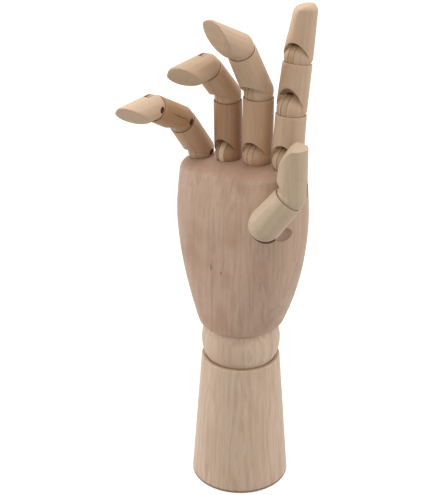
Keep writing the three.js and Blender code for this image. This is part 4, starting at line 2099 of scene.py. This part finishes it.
@dataclass
class Thumb:
    """Thumb of two links: one on the palm's peg, and a sliced tip on a hinge."""

    size: ThumbSize
    shoulder: Shoulder = Shoulder(-0.5, 9.0)
    pad: Pad = Pad(33.0, start=0.05, twist=-4.0, bow=1.5, edge=0.9, crown=0.6, trim=1.7)
    tongue_run: float = 700.0
    pin_run: float = 910.0

    def build(self, workshop: Workshop) -> None:
        """Makes both links, the tongue and the pin.

        Args:
            workshop: Finishes.
        """
        size = self.size
        place = size.root() @ turn_x(-size.lean)
        hinge_place = place @ shift(0.0, 0.0, size.proximal_length)
        end = hinge_place @ turn_x(size.bend)
        joint = Joint("thumb_tip", THUMB_HINGE, size.joint_radius, PinSide.LITTLE)
        self.add_base(workshop, place, hinge_place)
        cream = workshop.take(workshop.cream)
        joint.add_tongue(cream, hinge_place, self.tongue_run, "thumb_proximal")
        self.add_tip(workshop, end)
        joint.add_pin(workshop.take(workshop.pin), end, self.pin_run, "thumb_distal")

    def add_base(self, workshop: Workshop, place: Array, hinge_place: Array) -> None:
        """Makes the link on the peg, bored for the peg and mortised for the tongue.

        Args:
            workshop: Finishes.
            place: Frame of the link.
            hinge_place: Frame of the hinge above it.
        """
        size = self.size
        made = LinkSize(size.base_radius, size.joint_radius, size.proximal_length, None)
        link = solid("thumb_proximal_wood", moved(made.grid(THUMB_HINGE), place))
        carve(link, moved(size.peg_bore(size.bore_from, size.peg_reach + size.peg_play), place))
        carve(link, moved(THUMB_HINGE.mortise(), hinge_place))
        radius = THUMB_HINGE.cup_radius(size.joint_radius)
        # Painted shade in the cup at the top
        cup = cup_mask((0.0, 0.0, size.proximal_length), radius)
        grain = Grain(place, pith=(-22.0, 19.0), start=610.0)
        dress(link, workshop.take(workshop.pale), grain, cup)
        hand_over(link, "thumb_proximal", Slot.FINGER, "thumb_proximal")

    def add_tip(self, workshop: Workshop, place: Array) -> None:
        """Makes the sliced tip, slotted for the tongue and bored for the pin.

        Args:
            workshop: Finishes.
            place: Frame of the tip.
        """
        size, radius = self.size, self.size.joint_radius
        length = size.distal_length - self.pad.trim
        made = TipSize(radius, size.tip_radius, length, self.shoulder, self.pad)
        tip = solid("thumb_distal_wood", moved(made.grid(THUMB_HINGE), place))
        carve(tip, moved(THUMB_HINGE.slot(radius), place))
        carve(tip, moved(THUMB_HINGE.bore(radius, PinSide.LITTLE), place))
        # Painted shade in the slot and under the notch's arch
        shaded_hollows = any_of(slot_mask(THUMB_HINGE, radius), notch_mask(THUMB_HINGE, made))
        grain = Grain(place, pith=(24.0, -17.0), start=820.0)
        dress(tip, workshop.take(workshop.pale), grain, shaded_hollows)
        hand_over(tip, "thumb_distal", Slot.FINGER, "thumb_distal")


# The studio


@dataclass(frozen=True)
class Lamp:
    """One soft round lamp.

    Attributes:
        name: Its name.
        place: Its place.
        power: Its power in watts.
        width: Its width.
    """

    name: str
    place: Triple
    power: float
    width: float = 700.0

    def hang(self, aim: Triple) -> None:
        """Hangs the lamp so that it faces a point.

        Args:
            aim: Point that it faces.
        """
        light = bpy.data.lights.new(self.name, "AREA")
        light.shape = "DISK"
        light.size = self.width * MM
        light.energy = self.power
        hung = bpy.data.objects.new(self.name, light)
        away = np.array(self.place) - np.array(aim)
        away /= np.linalg.norm(away)
        hung.matrix_world = looking(np.array(self.place), -away)
        bpy.context.scene.collection.objects.link(hung)


@dataclass
class Studio:
    """White floor, soft lamps and the camera at the photograph's angle."""

    azimuth: float = 36.0
    distance: float = 700.0
    camera_height: float = 502.0
    pitch: float = 26.2
    yaw: float = 1.18
    focal_pixels: float = 1307.0
    picture_height: float = 495.0
    sensor: float = 36.0
    floor_radius: float = 4000.0
    floor_thickness: float = 1.0
    floor_colour: Colour = (170, 170, 169)
    floor_glow: float = 0.75
    sky_light: float = 0.76
    aim: Triple = (0.0, 0.0, 170.0)
    lamps: tuple[Lamp, ...] = (
        Lamp("left_lamp", (-950.0, -450.0, 450.0), 3.7),
        Lamp("right_lamp", (800.0, 550.0, 500.0), 2.2),
        Lamp("top_lamp", (-150.0, 100.0, 1300.0), 5.0),
    )

    def build(self) -> None:
        """Sets up the floor, the sky, the lamps and the camera."""
        self.add_floor()
        self.add_sky()
        for lamp in self.lamps:
            lamp.hang(self.aim)
        self.add_camera()
        bpy.context.scene.view_settings.view_transform = "Standard"

    def seen_directly(self, sheet: NodeSheet) -> Socket:
        """Gives 1 for rays from the camera and for mirrored or refracted ones, else 0.

        Args:
            sheet: Nodes of the floor or the sky.

        Returns:
            The number.
        """
        path = sheet.node("ShaderNodeLightPath").outputs
        both = sheet.math("MAXIMUM", path["Is Camera Ray"], path["Is Glossy Ray"])
        return sheet.math("MAXIMUM", both, path["Is Transmission Ray"])

    def add_floor(self) -> None:
        """Makes a wide disc that stays white to the camera and keeps the object's shadow."""
        profile = bar_profile(self.floor_radius, -self.floor_thickness, 0.0, 0.0)
        floor = solid("floor", turned(profile, FLOOR_COLUMNS))
        made = bpy.data.materials.new("white_floor")
        sheet = NodeSheet(made)
        glow = sheet.math("MULTIPLY", self.seen_directly(sheet), self.floor_glow)
        sheet.shade(
            {
                "Base Color": linear(self.floor_colour),
                "Roughness": 0.9,
                "Emission Color": linear((255, 255, 255)),
                "Emission Strength": glow,
            }
        )
        floor.data.materials.append(made)

    def add_sky(self) -> None:
        """Makes an even white sky that lights softly and is full white where it is seen."""
        world = bpy.data.worlds.new("studio_sky")
        bpy.context.scene.world = world
        sheet = NodeSheet(world)
        seen = self.seen_directly(sheet)
        level = sheet.math("MULTIPLY_ADD", seen, 1.0 - self.sky_light, self.sky_light)
        sheet.shade({"Color": linear((255, 255, 255)), "Strength": level})

    def add_camera(self) -> None:
        """Makes the camera: a lens whose focal length in pixels fits the picture's height."""
        lens = bpy.data.cameras.new("camera")
        lens.sensor_width = self.sensor
        lens.lens = self.focal_pixels * self.sensor / self.picture_height
        lens.clip_start = 0.01
        lens.clip_end = 20.0
        holder = bpy.data.objects.new("camera", lens)
        side = math.radians(self.azimuth)
        away = self.distance * np.array([math.sin(side), -math.cos(side)])
        heading, drop = math.radians(self.azimuth + self.yaw), math.radians(self.pitch)
        level = math.cos(drop) * np.array([-math.sin(heading), math.cos(heading)])
        forward = np.array([*level, -math.sin(drop)])
        holder.matrix_world = looking(np.array([*away, self.camera_height]), forward)
        bpy.context.scene.collection.objects.link(holder)
        bpy.context.scene.camera = holder


def main() -> None:
    """Builds the studio and each part of the hand."""
    logging.basicConfig(level=logging.INFO, format="%(name)s: %(message)s")
    Studio().build()
    workshop = Workshop()
    knuckles = KnuckleLine()
    thumb = ThumbSize()
    Stand().build(workshop)
    Wrist().build(workshop)
    Palm(knuckles, thumb).build(workshop)
    for size in FINGERS:
        Finger(size, knuckles).build(workshop)
    Thumb(thumb).build(workshop)


if __name__ == "__main__":
    main()
